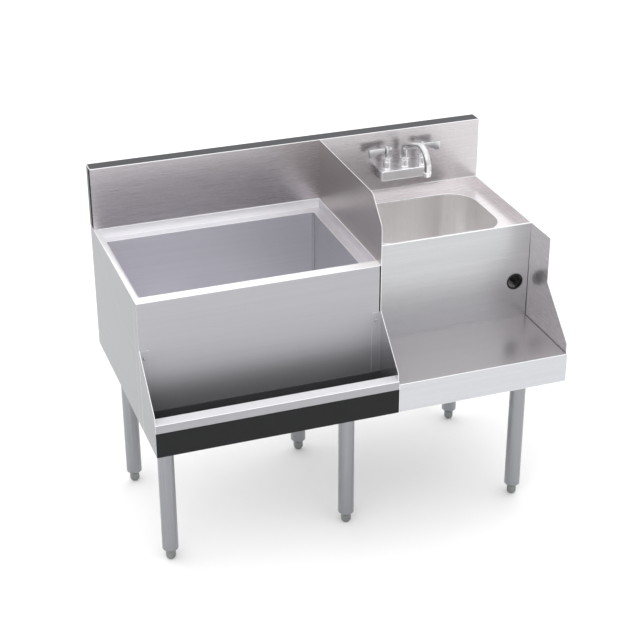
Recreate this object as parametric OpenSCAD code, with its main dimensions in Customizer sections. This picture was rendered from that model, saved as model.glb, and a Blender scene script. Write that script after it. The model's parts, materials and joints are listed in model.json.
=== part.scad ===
// Bar sink with ice bin: an underbar cocktail station in folded stainless sheet.
// An insulated ice bin with a speed rail stands on the left, a small hand sink with a
// stepped-down blender shelf on the right, under one backsplash and on six tube legs.
// The origin is on the floor, at the middle of the footprint. +X runs along the front
// from the bin to the sink, +Y runs to the wall, +Z is up.

/* [Overall size] */
// Width of the ice bin section
ice_w = 610; // [560:1:760]
// Width of the sink section
sink_w = 457; // [440:1:560]
// Depth of the cabinet, from its back to the front of the ice bin
body_d = 483; // [470:1:560]
// How far the speed rail and the shelf stand out in front of the ice bin
front_d = 127; // [115:1:160]
// Height of the working rim above the cabinet's underside
rim_h = 343; // [334:1:400]
// Height of the cabinet's underside above the floor
leg_h = 406; // [380:1:412]

/* [Sheet metal] */
// Thickness of the folded panels
sheet_t = 1.5; // [1:0.1:2]
// Thickness of the drawn and welded sheet of the liner, the bowl and the rim
liner_t = 1.2; // [0.8:0.1:1.6]

/* [Backsplash] */
// Height of the backsplash above the rim
splash_h = 165; // [155:1:220]
// Depth of the backsplash from its face to its back
splash_d = 40; // [38:1:70]
// Height of the lip folded down at its back
splash_lip = 25; // [12:1:40]

/* [Ice bin] */
// Width of the flat rim along the front of the bin
front_rim_w = 30; // [26:1:45]
// Width of the flat rim along the left side of the bin
side_rim_w = 11; // [8:1:18]
// How far the ledge for covers lies below the rim
ledge_drop = 25; // [15:1:35]
// Distance from the outer faces to the liner at the left, the right and the back
ledge_w = 25; // [22:1:40]
// Depth of the liner below the ledge
bin_depth = 265; // [200:1:275]
// Radius of the liner's upright corners
bin_r = 5; // [5:1:20]
// Radius between the liner's walls and its floor
bin_floor_r = 4; // [3:1:11]
// Width of the front panel's fold round the left corner
corner_fold = 35; // [25:1:50]
// Open seam between the front panel and the divider
seam_gap = 4; // [2:0.5:6]
// Distance from the left of the bin section to its drain
bin_drain_x = 305; // [200:1:400]
// Distance from the back of the cabinet to the bin's drain
bin_drain_y = 200; // [150:1:300]

/* [Divider] */
// Length of the sloping cut at the divider's top front corner, along each side
divider_cut = 64; // [40:1:90]
// Radius at both ends of that cut
divider_r = 24; // [10:1:40]

/* [Sink] */
// Distance from the back of the cabinet to the front face of the sink section
sink_d = 377; // [360:1:400]
// How far the deck lies below the rim
deck_drop = 23; // [12:1:32]
// Width of the bowl
bowl_w = 356; // [300:1:370]
// Size of the bowl from front to back
bowl_d = 262; // [220:1:266]
// Depth of the bowl below the deck
bowl_depth = 254; // [180:1:258]
// Radius of the bowl's upright corners
bowl_r = 76; // [40:1:90]
// Radius between the bowl's walls and its floor
bowl_floor_r = 25; // [12:1:35]
// Distance from the backsplash to the bowl
bowl_back = 38; // [30:1:44]
// Width of the flange that carries the bowl under the deck
bowl_flange = 9; // [6:1:12]
// Thickness of the hem along the top of the front wall
hem_t = 4; // [3.4:0.1:5]
// Height of that hem
hem_h = 14; // [8:1:20]

/* [Shelf and side panel] */
// Height of the shelf's top above the cabinet's underside
shelf_h = 78; // [72:1:94]
// Height of the upper end of the sloping front edges above the underside
slope_top = 221; // [194:1:254]
// Height of the lower end of the sloping front edges above the underside
slope_low = 105; // [96:1:124]
// How far the sloping edges end behind the front
slope_back = 5; // [3:1:12]
// Width of the fold under the shelf's apron
apron_fold = 15; // [10:1:20]
// Diameter of the hole for blender cords
cord_hole_d = 40; // [38:1:50]
// Distance from the right side to the middle of that hole
cord_hole_x = 39; // [36:1:60]
// Height of the middle of that hole above the shelf
cord_hole_up = 103; // [60:1:140]
// Bore of the rubber grommet in it
grommet_bore = 36; // [28:1:36]

/* [Speed rail] */
// Height of the rail's lip above the cabinet's underside
lip_h = 87; // [80:1:92]
// Height of the lip's front face
lip_face = 22; // [14:1:30]
// Depth of the lip's flat top
lip_d = 33; // [20:1:40]
// Height of the trough's back
trough_back = 50; // [40:1:80]
// Height of the black liner's back above the floor of the trough
rail_liner_back = 52; // [30:1:60]
// Thickness of the black liner
rail_liner_t = 3; // [2:0.5:5]
// Width of the end plates' flanges against the bin
end_flange = 24; // [20:1:32]
// Distance from the ends of the rail to its screws
rail_screw_in = 12.5; // [10:0.5:16]
// Distance from the top of the sloping edges down to the screws in the flanges
rail_screw_h = 23; // [12:1:60]
// Diameter of the screws' shanks
rail_screw_d = 4.8; // [4:0.1:6]

/* [Legs] */
// Outer diameter of the leg tubes
leg_d = 41.3; // [36:0.1:44]
// Wall of the leg tubes
leg_wall = 1.5; // [1:0.1:3]
// Distance from the left side to the left legs
leg_in_x = 57; // [45:1:62]
// Distance from the right side to the right legs
leg_in_right = 62.5; // [45:0.5:70]
// Distance from the divider to the middle legs
leg_in_mid = 76.5; // [45:0.5:120]
// Distance from the front of the bin to the left and middle front legs
leg_in_front = 32; // [32:1:60]
// Distance from the back of the cabinet to the left and middle rear legs
leg_in_back = 67; // [45:1:90]
// Distance from the front of the bin to the right front leg
right_leg_front = 6; // [-20:1:60]
// Distance from the back of the cabinet to the right rear leg
right_leg_back = 59; // [45:1:90]
// Width of the square mounting plates
leg_plate_w = 74; // [60:1:80]
// Thickness of the mounting plates
leg_plate_t = 3; // [2:0.5:5]
// Length of the spigot that centres each tube
spigot_h = 35; // [20:1:50]
// Diameter of the bolts that hold the plates
leg_bolt_d = 8; // [6:1:10]
// Height of a foot below its leg, screwed right in
foot_h = 25; // [20:1:34]
// Width of a hexagonal foot across its flats
foot_d = 24; // [21:1:31]
// Diameter of the threaded stem of a foot
foot_stem_d = 12; // [10:1:16]
// Length of that stem
foot_stem_h = 55; // [45:1:60]
// Height of the insert inside the tube
insert_h = 60; // [50:1:66]
// Height of the tapered collar under the tube
insert_collar = 8; // [5:1:12]
// Width of the channel that carries the right legs
channel_w = 62; // [50:1:64]
// Height of that channel
channel_h = 25; // [18:1:30]

/* [Drains] */
// Outer diameter of the bin drain's threaded part
bin_tail_d = 33; // [28:1:38]
// Outer diameter of its tail below the nut
bin_outlet_d = 32; // [27:0.5:32]
// Bore of the bin drain
bin_tail_bore = 25; // [18:1:26]
// How far the bin drain hangs below the cabinet
bin_tail_below = 52; // [40:1:90]
// Diameter of the bin drain's flange
bin_drain_d = 66; // [54:1:74]
// Diameter of the sink drain's flange
sink_drain_d = 88; // [70:1:96]
// Outer diameter of the sink drain's threaded body
sink_thread_d = 60; // [50:1:66]
// Length of the sink drain's threaded body
sink_thread_h = 34; // [28:1:50]
// Outer diameter of the sink's tailpiece
tail_d = 38; // [32:1:42]
// Wall of the tailpiece
tail_wall = 1.5; // [1:0.1:2.5]
// Length of the tailpiece below the drain
tail_h = 102; // [80:1:140]

/* [Faucet] */
// Distance between the two valves
valve_spacing = 101.6; // [96:0.2:110]
// Height of the top of the faucet's body above the rim
faucet_up = 71; // [62:1:76]
// Width of the faucet's body
faucet_w = 146; // [138:1:160]
// Depth of the faucet's body
faucet_d = 51; // [46:1:60]
// Height of the faucet's body
faucet_h = 29; // [27:1:34]
// Distance from the wall to the valves and the spout
faucet_axis = 30; // [28:1:32]
// Diameter of the valve bonnets
bonnet_d = 23; // [22:1:25]
// Height of the valve bonnets
bonnet_h = 31; // [28:1:36]
// Diameter of the valve stems
stem_d = 8; // [6:0.5:9]
// Bare length of a stem between its bonnet and its handle
stem_bare = 12.5; // [10:0.5:16]
// Outer diameter of the handle hubs
hub_d = 13; // [11.5:0.5:16]
// Height of the handle hubs
hub_h = 16.5; // [15:0.5:22]
// Length of a wing handle from its stem to its tip
wing_l = 51; // [44:1:60]
// Height of a wing at its tip
wing_tip = 24; // [18:1:24]
// Height of a wing at its neck
wing_neck = 10; // [8:1:14]
// Length of a wing's short tail
wing_tail = 14; // [10:1:18]
// Thickness of a wing
wing_t = 6; // [4:0.5:8]
// Reach of the spout from its own axis
spout_reach = 152; // [140:1:200]
// Outer diameter of the spout
spout_d = 16.5; // [16:0.5:19]
// Wall of the spout
spout_wall = 2.6; // [1.6:0.1:3]
// Rise of the spout's straight run
spout_rise = 18; // [5:0.5:22]
// Bend radius of the spout's elbow
elbow_r = 18; // [14:1:24]
// Bend radius of the spout's outlet
outlet_r = 40; // [30:1:46]
// Straight length of the outlet above the aerator
outlet_h = 14; // [6:1:22]
// Diameter of the aerator
aerator_d = 22; // [20:1:26]
// Height of the aerator
aerator_h = 12; // [8:1:18]
// Diameter of the supply shanks
shank_d = 20.6; // [18:0.1:21]
// Outer diameter of the shanks' threaded part, through the wall and the nut
shank_thread_d = 21.4; // [21.1:0.1:23]
// Length of the shanks behind the backsplash's face
shank_l = 36; // [28:1:37]

/* [Hidden] */
$fn = 64;

// Running clearance on each side of a part that turns or slides.
run = 0.3;
// The radius along the liner's floor, which stays smaller than its upright corners'.
bin_edge_r = min(bin_floor_r, bin_r - 1);
// Clearance on each side of a part that is screwed or pushed in and stays.
fit = 0.15;
// Allowance by which a cutter passes a face, so that no skin is left.
pass = 1;

// Planes across the unit.
x_left = -(ice_w + sink_w) / 2;
x_right = (ice_w + sink_w) / 2;
x_divider = x_left + ice_w;
// Planes from front to back.
y_front = -(body_d + front_d) / 2;
y_back = (body_d + front_d) / 2;
y_bin = y_back - body_d;
y_sink = y_back - sink_d;
y_face = y_back - splash_d;
// Levels above the floor.
rim_z = leg_h + rim_h;
shelf_z = leg_h + shelf_h;
slope_top_z = leg_h + slope_top;
slope_low_z = leg_h + slope_low;
lip_z = leg_h + lip_h;
rail_screw_z = slope_top_z - rail_screw_h;
top_h = rim_z + splash_h;
ledge_h = rim_z - ledge_drop;
deck_h = rim_z - deck_drop;
bin_floor_h = ledge_h - liner_t - bin_depth;
bowl_floor_h = deck_h - sheet_t - bowl_depth;
lip_low = lip_z - lip_face;

// Liner of the ice bin, inside.
liner_x0 = x_left + ledge_w;
liner_x1 = x_divider - sheet_t - ledge_w;
liner_y0 = y_bin + front_rim_w;
liner_y1 = y_face - ledge_w;
liner_size = [liner_x1 - liner_x0, liner_y1 - liner_y0, bin_depth];
liner_mid = [(liner_x0 + liner_x1) / 2, (liner_y0 + liner_y1) / 2];
seam_x = x_divider - sheet_t - seam_gap;

// Height of the fold at the rear of the rail's lip.
lip_fold = 11;
// Screws in the rail's flanges.
rail_screw_head_t = 2.4;
rail_screw_head_w = 1.9;
rail_screw_l = 2 * sheet_t + 2;

// The grommet's flanges, and how far they lie over the sheet.
grommet_flange_t = 2;
grommet_lap = 2.75;

// Bowl of the sink, inside.
bowl_mid = [(x_divider + x_right) / 2, y_face - bowl_back - bowl_d / 2];
drain_flange_t = 2.5;
gasket_t = 2;
nut_t = 8;
drain_outlet_h = 10;
drain_wall = 3;
// How much wider the nuts and the gasket are than their threads, on each side.
bin_nut_wall = 7;
sink_nut_wall = 8;
gasket_wall = 9;
// Bare edge of the drain's flange round the strainer, and lap of the grid on its seat.
strainer_edge = 3;
grid_lap = 2;
tail_spigot_d = tail_d - tail_wall;
sink_drain_low = bowl_floor_h - liner_t - sink_thread_h - drain_outlet_h;

// How far the sink section's front wall reaches down behind the shelf.
wall_tuck = 12;

// Legs.
leg_x = [x_left + leg_in_x, x_divider - leg_in_mid, x_right - leg_in_right];
leg_y = [[y_bin + leg_in_front, y_back - leg_in_back],
         [y_bin + leg_in_front, y_back - leg_in_back],
         [y_bin + right_leg_front, y_back - right_leg_back]];
leg_top = leg_h - leg_plate_t;
leg_bottom = foot_h + insert_collar;
leg_bolt_in = 13;
leg_bolt_head = 3;
leg_bolt_head_w = 2.5;
// Reach of a plate bolt above the cabinet's underside.
bolt_reach = 9;
foot_flat_d = 16;
// How far the cone round a foot spreads on each side, from its flat end to its top.
foot_spread = 18;
// The angle at which each column's feet have stopped turning.
foot_turn = [30, 25, 0];
// How much wider a collar's lower end is than the foot below it, on each side.
collar_step = 0.8;

// Faucet.
faucet_mid = [(x_divider + x_right) / 2, y_face - faucet_axis, rim_z + faucet_up];
bonnet_seat_d = 19.6;
bonnet_seat_h = 12;
bonnet_ring_d = bonnet_d + 2.4;
bonnet_ring_h = 6;
hub_top = faucet_mid[2] + bonnet_h + stem_bare + hub_h;
hub_cap = 6;
// Distance from the hub to where the wing starts to widen.
wing_flare = 6;
// How far a wing's top lies below its hub's, and the shape of its tip.
wing_shy = 1.5;
wing_flat = 10;
wing_corner = 3;
screw_d = 4;
screw_head_d = 9;
screw_head_h = 2.5;
screw_l = 10;
spout_nut_d = 26;
spout_nut_h = 27.5;
spout_nut_step = 1;
spout_nut_ring = 6;
spout_neck = 20;
spout_socket_h = 16;
spout_socket_d = 15.4;
valve_disc_d = 16;
valve_disc_t = 3;
// Room in the body below a bonnet, for the valve's disc.
valve_room = 8;
elbow_z = faucet_mid[2] + spout_nut_h + spout_neck;
elbow_turn = 90 - spout_rise;
run_fwd = elbow_r * (1 - cos(elbow_turn));
run_up = elbow_r * sin(elbow_turn);
run_l = (spout_reach - run_fwd - outlet_r * (1 + sin(spout_rise))) / cos(spout_rise);
outlet_mid = [
    spout_reach - outlet_r,
    elbow_z + run_up + run_l * sin(spout_rise) - outlet_r * cos(spout_rise)
];
outlet_low = outlet_mid[1] - outlet_h;
bend_lap = 0.05;
// Gap under the spout's plain end in its socket.
spout_end_gap = 2;
aerator_lip = 2;
shank_seat = 8;
shank_bore = 12;
// Waterway between the valves and the spout.
cross_bore = 9;
shank_level = faucet_mid[2] - faucet_h / 2;
shank_nut_t = 7;
shank_nut_af = 32;

// --- shapes that repeat ---------------------------------------------------

// A block between two opposite corners.
module block(from, to) {
    translate(from) cube(to - from);
}

// A profile drawn in depth and height, drawn out along X from x0 to x1.
module along_x(x0, x1) {
    translate([x0, 0, 0]) rotate([90, 0, 90]) linear_extrude(x1 - x0) children();
}

// A rectangle with round corners, about its middle.
module round_rect(size, r) {
    square([size[0] - 2 * r, size[1]], center = true);
    square([size[0], size[1] - 2 * r], center = true);
    for (x = [-1, 1], y = [-1, 1])
        translate([x * (size[0] / 2 - r), y * (size[1] / 2 - r)]) circle(r);
}

// The solid that fills a pan: upright corners of radius r, a smaller radius e along
// the edge of its floor. Each turn adds one side's edge and the corner after it.
module pan_fill(size, r, e) {
    w = size[0];
    d = size[1];
    translate([0, 0, e]) linear_extrude(size[2] - e) round_rect(size, r);
    linear_extrude(e) square([w - 2 * r, d - 2 * r], center = true);
    for (side = [[w, d, 0], [d, w, 90], [w, d, 180], [d, w, 270]]) rotate(side[2]) {
        translate([side[0] / 2 - r, 0, e]) rotate([90, 0, 0])
            linear_extrude(side[1] - 2 * r, center = true) pan_edge(r, e);
        translate([side[0] / 2 - r, side[1] / 2 - r, e])
            rotate_extrude(angle = 90) pan_edge(r, e);
    }
}

// Section of a pan's floor edge, r wide, with its outer corner rounded to e.
module pan_edge(r, e) {
    translate([0, -e]) square([r - e, e]);
    translate([r - e, 0]) quarter(e);
}

// The lower right quarter of a disc.
module quarter(r) {
    intersection() {
        circle(r);
        translate([0, -r]) square(r);
    }
}

// A hexagonal nut on the XY plane, with its bore.
module hex_nut(across, bore, h) {
    difference() {
        cylinder(d = across / cos(30), h = h, $fn = 6);
        translate([0, 0, -pass]) cylinder(d = bore, h = h + 2 * pass);
    }
}

// A tube on the XY plane.
module tube(d, bore, h) {
    difference() {
        cylinder(d = d, h = h);
        translate([0, 0, -pass]) cylinder(d = bore, h = h + 2 * pass);
    }
}

// Points on an arc, for an outline.
function arc(mid, r, from, to, steps = 8) =
    [for (i = [0:steps]) mid + r * [cos(from + (to - from) * i / steps),
                                    sin(from + (to - from) * i / steps)]];

// --- cabinet --------------------------------------------------------------

// Face, top, back lip and closed ends of the backsplash, open at the back.
module backsplash() {
    color("silver") difference() {
        union() {
            block([x_left, y_face, rim_z], [x_right, y_face + sheet_t, top_h]);
            block([x_left + sheet_t, y_face, ledge_h],
                  [x_right - sheet_t, y_face + sheet_t, rim_z + sheet_t]);
            block([x_left, y_face, top_h - sheet_t], [x_right, y_back, top_h]);
            block([x_left, y_back - sheet_t, top_h - splash_lip], [x_right, y_back, top_h]);
            for (x = [x_left, x_right - sheet_t])
                block([x, y_face, rim_z], [x + sheet_t, y_back, top_h]);
        }
        for (s = [-1, 1])
            translate([faucet_mid[0] + s * valve_spacing / 2, y_face - pass, shank_level])
                rotate([-90, 0, 0]) cylinder(d = shank_thread_d + 2 * fit, h = sheet_t + 2 * pass);
    }
}

module rear_panel() {
    color("silver") block([x_left + sheet_t, y_back - sheet_t, leg_h],
                          [x_right - sheet_t, y_back, rim_z]);
}

module bin_left_panel() {
    y_fold = y_bin + corner_fold;
    color("silver") along_x(x_left, x_left + sheet_t) polygon([
        [y_fold, leg_h], [y_back, leg_h], [y_back, rim_z], [y_face, rim_z],
        [y_face, rim_z - liner_t], [y_fold, rim_z - liner_t]
    ]);
}

// The front sheet, folded round the left corner and in at the seam.
module bin_front_panel() {
    top = rim_z - liner_t;
    color("silver") difference() {
        union() {
            block([x_left, y_bin, leg_h], [seam_x, y_bin + sheet_t, top]);
            block([x_left, y_bin, leg_h], [x_left + sheet_t, y_bin + corner_fold, top]);
            block([seam_x - sheet_t, y_bin, leg_h + sheet_t],
                  [seam_x, y_bin + corner_fold / 2, top]);
        }
        rail_flange_screws() rail_screw_hole();
    }
}

module bin_bottom_panel() {
    color("silver") difference() {
        block([x_left + sheet_t, y_bin + sheet_t, leg_h],
              [x_divider - sheet_t, y_back - sheet_t, leg_h + sheet_t]);
        at_bin_drain(leg_h - pass) cylinder(d = bin_tail_d + 2 * run, h = sheet_t + 2 * pass);
        leg_plate_bolt_places() cylinder(d = leg_bolt_d + 2 * fit, h = sheet_t + 2 * pass);
    }
}

// The panel between the two sections: cabinet wall below, splash guard above.
module divider_panel() {
    tangent = divider_r * tan(22.5);
    color("dimgray") along_x(x_divider - sheet_t, x_divider) polygon(concat(
        [[y_bin, leg_h], [y_back - sheet_t, leg_h], [y_back - sheet_t, ledge_h],
         [y_face, ledge_h], [y_face, top_h]],
        arc([y_bin + divider_cut + tangent, top_h - divider_r], divider_r, 90, 135),
        arc([y_bin + divider_r, top_h - divider_cut - tangent], divider_r, 135, 180)
    ));
}

// The rim of the bin: a flat rim at the front and the left, and a ledge for covers
// a little lower at the left, the back and the right.
module bin_top_rim() {
    x1 = x_divider - sheet_t;
    x_drop = x_left + side_rim_w;
    color("gainsboro") difference() {
        union() {
            block([x_left, y_bin, rim_z - liner_t], [x1, liner_y0, rim_z]);
            block([x_left, y_bin, rim_z - liner_t], [x_drop, y_face, rim_z]);
            block([x_drop - liner_t, liner_y0 - liner_t, ledge_h - liner_t],
                  [x1, liner_y0, rim_z]);
            block([x_drop - liner_t, liner_y0 - liner_t, ledge_h - liner_t],
                  [x_drop, y_face, rim_z]);
            block([x1 - liner_t, liner_y0 - liner_t, ledge_h - liner_t],
                  [x1, y_face, rim_z]);
            block([x_drop - liner_t, y_face - liner_t, ledge_h - liner_t],
                  [x1, y_face, rim_z]);
            block([x_drop - liner_t, liner_y0 - liner_t, ledge_h - liner_t],
                  [x1, y_face, ledge_h]);
        }
        translate([liner_mid[0], liner_mid[1], ledge_h - liner_t - pass])
            linear_extrude(liner_t + 2 * pass) round_rect(liner_size, bin_r);
    }
}

module bin_liner() {
    outer = liner_size + [2, 2, 1] * liner_t;
    color("lightsteelblue") difference() {
        translate([liner_mid[0], liner_mid[1], bin_floor_h - liner_t])
            pan_fill(outer, bin_r + liner_t, bin_edge_r + liner_t);
        translate([liner_mid[0], liner_mid[1], bin_floor_h])
            pan_fill(liner_size + [0, 0, pass], bin_r, bin_edge_r);
        at_bin_drain(bin_floor_h - liner_t - pass)
            cylinder(d = bin_tail_d + 2 * run, h = liner_t + 2 * pass);
    }
}

// Foam between the liner and the cabinet.
module bin_insulation() {
    outer = liner_size + [2, 2, 1] * liner_t;
    color("khaki") difference() {
        block([x_left + sheet_t, y_bin + sheet_t, leg_h + sheet_t],
              [x_divider - sheet_t, y_back - sheet_t, ledge_h - liner_t]);
        translate([liner_mid[0], liner_mid[1], bin_floor_h - liner_t])
            pan_fill(outer + [0, 0, pass], bin_r + liner_t, bin_edge_r + liner_t);
        block([seam_x - sheet_t, y_bin, leg_h], [x_divider, y_bin + corner_fold / 2, rim_z]);
        block([x_left, y_bin, leg_h],
              [x_left + side_rim_w + sheet_t, liner_y0 - liner_t, rim_z]);
        at_bin_drain(leg_h) cylinder(d = bin_tail_d + 2 * run, h = rim_z);
        leg_plate_bolt_places() cylinder(d = leg_bolt_d + 2 * run, h = bolt_reach + 2 * pass);
        rail_flange_screws() cylinder(d = rail_screw_d + 2 * run, h = rail_screw_l + pass);
    }
}

// --- bin drain ------------------------------------------------------------

module at_bin_drain(z) {
    translate([x_left + bin_drain_x, y_back - bin_drain_y, z]) children();
}

module bin_drain_body() {
    low = leg_h - bin_tail_below;
    color("silver") at_bin_drain(low) difference() {
        union() {
            cylinder(d = bin_outlet_d, h = bin_tail_below);
            translate([0, 0, bin_tail_below - nut_t])
                cylinder(d = bin_tail_d, h = bin_floor_h - leg_h + nut_t + pass);
            translate([0, 0, bin_floor_h - low]) cylinder(d = bin_drain_d, h = drain_flange_t);
        }
        translate([0, 0, -pass]) cylinder(d = bin_tail_bore, h = rim_z);
    }
}

// A perforated disc that lies on the drain's flange.
module bin_drain_strainer() {
    color("gray") at_bin_drain(bin_floor_h + drain_flange_t) 
        perforated(bin_drain_d - 2 * strainer_edge);
}

module bin_drain_locknut() {
    color("goldenrod") at_bin_drain(leg_h - nut_t)
        hex_nut(bin_tail_d + 2 * bin_nut_wall, bin_tail_d + 2 * fit, nut_t);
}

// A disc with rings of round holes, fewer of them in a smaller disc.
module perforated(d, t = 1.5, hole = 5, pitch = 9) {
    rings = floor((d / 2 - hole) / pitch);
    difference() {
        cylinder(d = d, h = t);
        translate([0, 0, -pass]) cylinder(d = hole, h = t + 2 * pass);
        for (ring = [1:rings], i = [0:6 * ring - 1])
            rotate(i * 60 / ring) translate([ring * pitch, 0, -pass])
                cylinder(d = hole, h = t + 2 * pass, $fn = 16);
    }
}

// --- sink -----------------------------------------------------------------

// The dropped deck round the bowl, with upstands on three sides.
module sink_deck() {
    x1 = x_right - sheet_t;
    y0 = y_sink + sheet_t;
    color("gainsboro") difference() {
        union() {
            block([x_divider, y0, deck_h - sheet_t], [x1, y_face, deck_h]);
            block([x_divider, y_face - liner_t, deck_h - sheet_t], [x1, y_face, rim_z]);
            block([x1 - liner_t, y_sink + hem_t, deck_h - sheet_t], [x1, y_face, rim_z]);
            block([x_divider, y_sink + hem_t, deck_h - sheet_t],
                  [x_divider + liner_t, y_face, rim_z]);
        }
        translate([bowl_mid[0], bowl_mid[1], deck_h - sheet_t - pass])
            linear_extrude(sheet_t + 2 * pass) round_rect([bowl_w, bowl_d], bowl_r);
    }
}

module sink_bowl() {
    size = [bowl_w, bowl_d, bowl_depth];
    outer = size + [2, 2, 1] * liner_t;
    flange = size + [2, 2, 0] * bowl_flange;
    color("lightgray") translate([bowl_mid[0], bowl_mid[1], bowl_floor_h]) difference() {
        union() {
            translate([0, 0, -liner_t]) pan_fill(outer, bowl_r + liner_t, bowl_floor_r + liner_t);
            translate([0, 0, bowl_depth - liner_t])
                linear_extrude(liner_t) round_rect(flange, bowl_r + bowl_flange);
        }
        pan_fill(size + [0, 0, pass], bowl_r, bowl_floor_r);
        translate([0, 0, -liner_t - pass])
            cylinder(d = sink_thread_d + 2 * run, h = liner_t + 2 * pass);
    }
}

module at_sink_drain(z) {
    translate([bowl_mid[0], bowl_mid[1], z]) children();
}

// Flange in the bowl's floor, threaded body and outlet of the sink drain.
module sink_drain_body() {
    outlet = tail_d + 2 * drain_wall;
    color("silver") at_sink_drain(sink_drain_low) difference() {
        union() {
            translate([0, 0, drain_outlet_h])
                cylinder(d = sink_thread_d, h = bowl_floor_h - sink_drain_low - drain_outlet_h + pass);
            translate([0, 0, bowl_floor_h - sink_drain_low])
                cylinder(d = sink_drain_d, h = drain_flange_t);
            cylinder(d = outlet, h = drain_outlet_h + pass);
        }
        translate([0, 0, drain_outlet_h + drain_wall])
            cylinder(d = sink_thread_d - 2 * drain_wall, h = bowl_floor_h);
        translate([0, 0, -pass]) cylinder(d = tail_spigot_d + 2 * fit, h = drain_outlet_h + pass);
        cylinder(d = tail_d - 2 * tail_wall, h = drain_outlet_h + drain_wall + pass);
    }
}

module sink_drain_gasket() {
    color("dimgray") at_sink_drain(bowl_floor_h - liner_t - gasket_t)
        tube(sink_thread_d + 2 * gasket_wall, sink_thread_d + 2 * fit, gasket_t);
}

module sink_drain_locknut() {
    color("goldenrod") at_sink_drain(bowl_floor_h - liner_t - gasket_t - nut_t)
        hex_nut(sink_thread_d + 2 * sink_nut_wall, sink_thread_d + 2 * fit, nut_t);
}

module sink_drain_grid() {
    color("gray") at_sink_drain(bowl_floor_h + drain_flange_t) 
        perforated(sink_thread_d + 2 * grid_lap);
}

// Straight tube below the drain, with a thinner spigot inside the drain's outlet.
module sink_tailpiece() {
    color("silver") at_sink_drain(sink_drain_low - tail_h) {
        tube(tail_d, tail_d - 2 * tail_wall, tail_h);
        tube(tail_spigot_d, tail_d - 2 * tail_wall, tail_h + drain_outlet_h - fit);
    }
}

// Front wall of the sink section, hemmed along its top.
module sink_front_wall() {
    color("silver") difference() {
        union() {
            block([x_divider, y_sink, shelf_z - wall_tuck],
                  [x_right - sheet_t, y_sink + sheet_t, rim_z - hem_t / 2]);
            block([x_divider, y_sink, rim_z - hem_h],
                  [x_right - sheet_t, y_sink + hem_t, rim_z - hem_t / 2]);
            along_x(x_divider, x_right - sheet_t)
                translate([y_sink + hem_t / 2, rim_z - hem_t / 2]) circle(hem_t / 2);
        }
        at_cord_hole(-pass) cylinder(d = cord_hole_d, h = sheet_t + 2 * pass);
    }
}

// The cord hole's axis, from the front wall's face to the back.
module at_cord_hole(depth) {
    translate([x_right - cord_hole_x, y_sink + depth, shelf_z + cord_hole_up])
        rotate([-90, 0, 0]) children();
}

// A rubber ring that grips the sheet between two flanges.
module cord_grommet() {
    flange_d = cord_hole_d + 2 * grommet_lap;
    flange_t = grommet_flange_t;
    color("black") difference() {
        union() {
            at_cord_hole(-flange_t) cylinder(d = flange_d, h = flange_t);
            at_cord_hole(-pass) cylinder(d = cord_hole_d - 2 * fit, h = sheet_t + 2 * pass);
            at_cord_hole(sheet_t) cylinder(d = flange_d, h = flange_t);
        }
        at_cord_hole(-flange_t - pass) cylinder(d = grommet_bore, h = sheet_t + 3 * flange_t);
    }
}

// --- shelf and side panel -------------------------------------------------

// Side of the sink section and guard beside the shelf, in one sheet.
module right_side_panel() {
    color("silver") along_x(x_right - sheet_t, x_right) polygon([
        [y_back, leg_h], [y_back, rim_z], [y_bin, rim_z], [y_bin, slope_top_z],
        [y_front + slope_back, slope_low_z], [y_front + slope_back, shelf_z],
        [y_front + sheet_t, shelf_z], [y_front + sheet_t, leg_h]
    ]);
}

// Shelf with its apron, the fold under the apron and a flange at the left.
module blender_shelf() {
    x1 = x_right - sheet_t;
    color("silver") union() {
        block([x_divider, y_front, shelf_z - sheet_t], [x1, y_sink, shelf_z]);
        block([x_divider, y_front, leg_h], [x_right, y_front + sheet_t, shelf_z]);
        block([x_divider, y_front, leg_h],
              [x1, y_front + sheet_t + apron_fold, leg_h + sheet_t]);
        block([x_divider, y_front, leg_h], [x_divider + sheet_t, y_bin, shelf_z]);
    }
}

// Channel under the sink section that carries the two right legs.
module leg_channel() {
    x0 = leg_x[2] - channel_w / 2;
    x1 = leg_x[2] + channel_w / 2;
    y0 = y_front + sheet_t + apron_fold;
    y1 = y_back - sheet_t;
    color("darkgray") difference() {
        union() {
            block([x0, y0, leg_h], [x1, y1, leg_h + sheet_t]);
            for (x = [x0, x1 - sheet_t])
                block([x, y0, leg_h], [x + sheet_t, y1, leg_h + channel_h]);
        }
        leg_plate_bolt_places() cylinder(d = leg_bolt_d + 2 * fit, h = sheet_t + 2 * pass);
    }
}

// --- speed rail -----------------------------------------------------------

// Stainless trough with the rolled lip that bottles lean on.
module rail_trough() {
    y_lip = y_front + lip_d;
    fold_low = lip_z - lip_fold;
    y_rear = y_bin - sheet_t;
    color("silver") union() {
        along_x(x_left + sheet_t, x_divider - sheet_t) polygon([
            [y_front, lip_low], [y_front + sheet_t, lip_low], [y_front + sheet_t, leg_h],
            [y_rear, leg_h], [y_rear, leg_h + trough_back],
            [y_rear - sheet_t, leg_h + trough_back], [y_rear - sheet_t, leg_h + sheet_t],
            [y_front + 2 * sheet_t, leg_h + sheet_t], [y_front + 2 * sheet_t, lip_z - sheet_t],
            [y_lip - sheet_t, lip_z - sheet_t], [y_lip - sheet_t, fold_low],
            [y_lip, fold_low], [y_lip, lip_z], [y_front, lip_z]
        ]);
        block([x_left, y_front, lip_low], [x_divider, y_front + sheet_t, lip_z]);
    }
}

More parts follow.
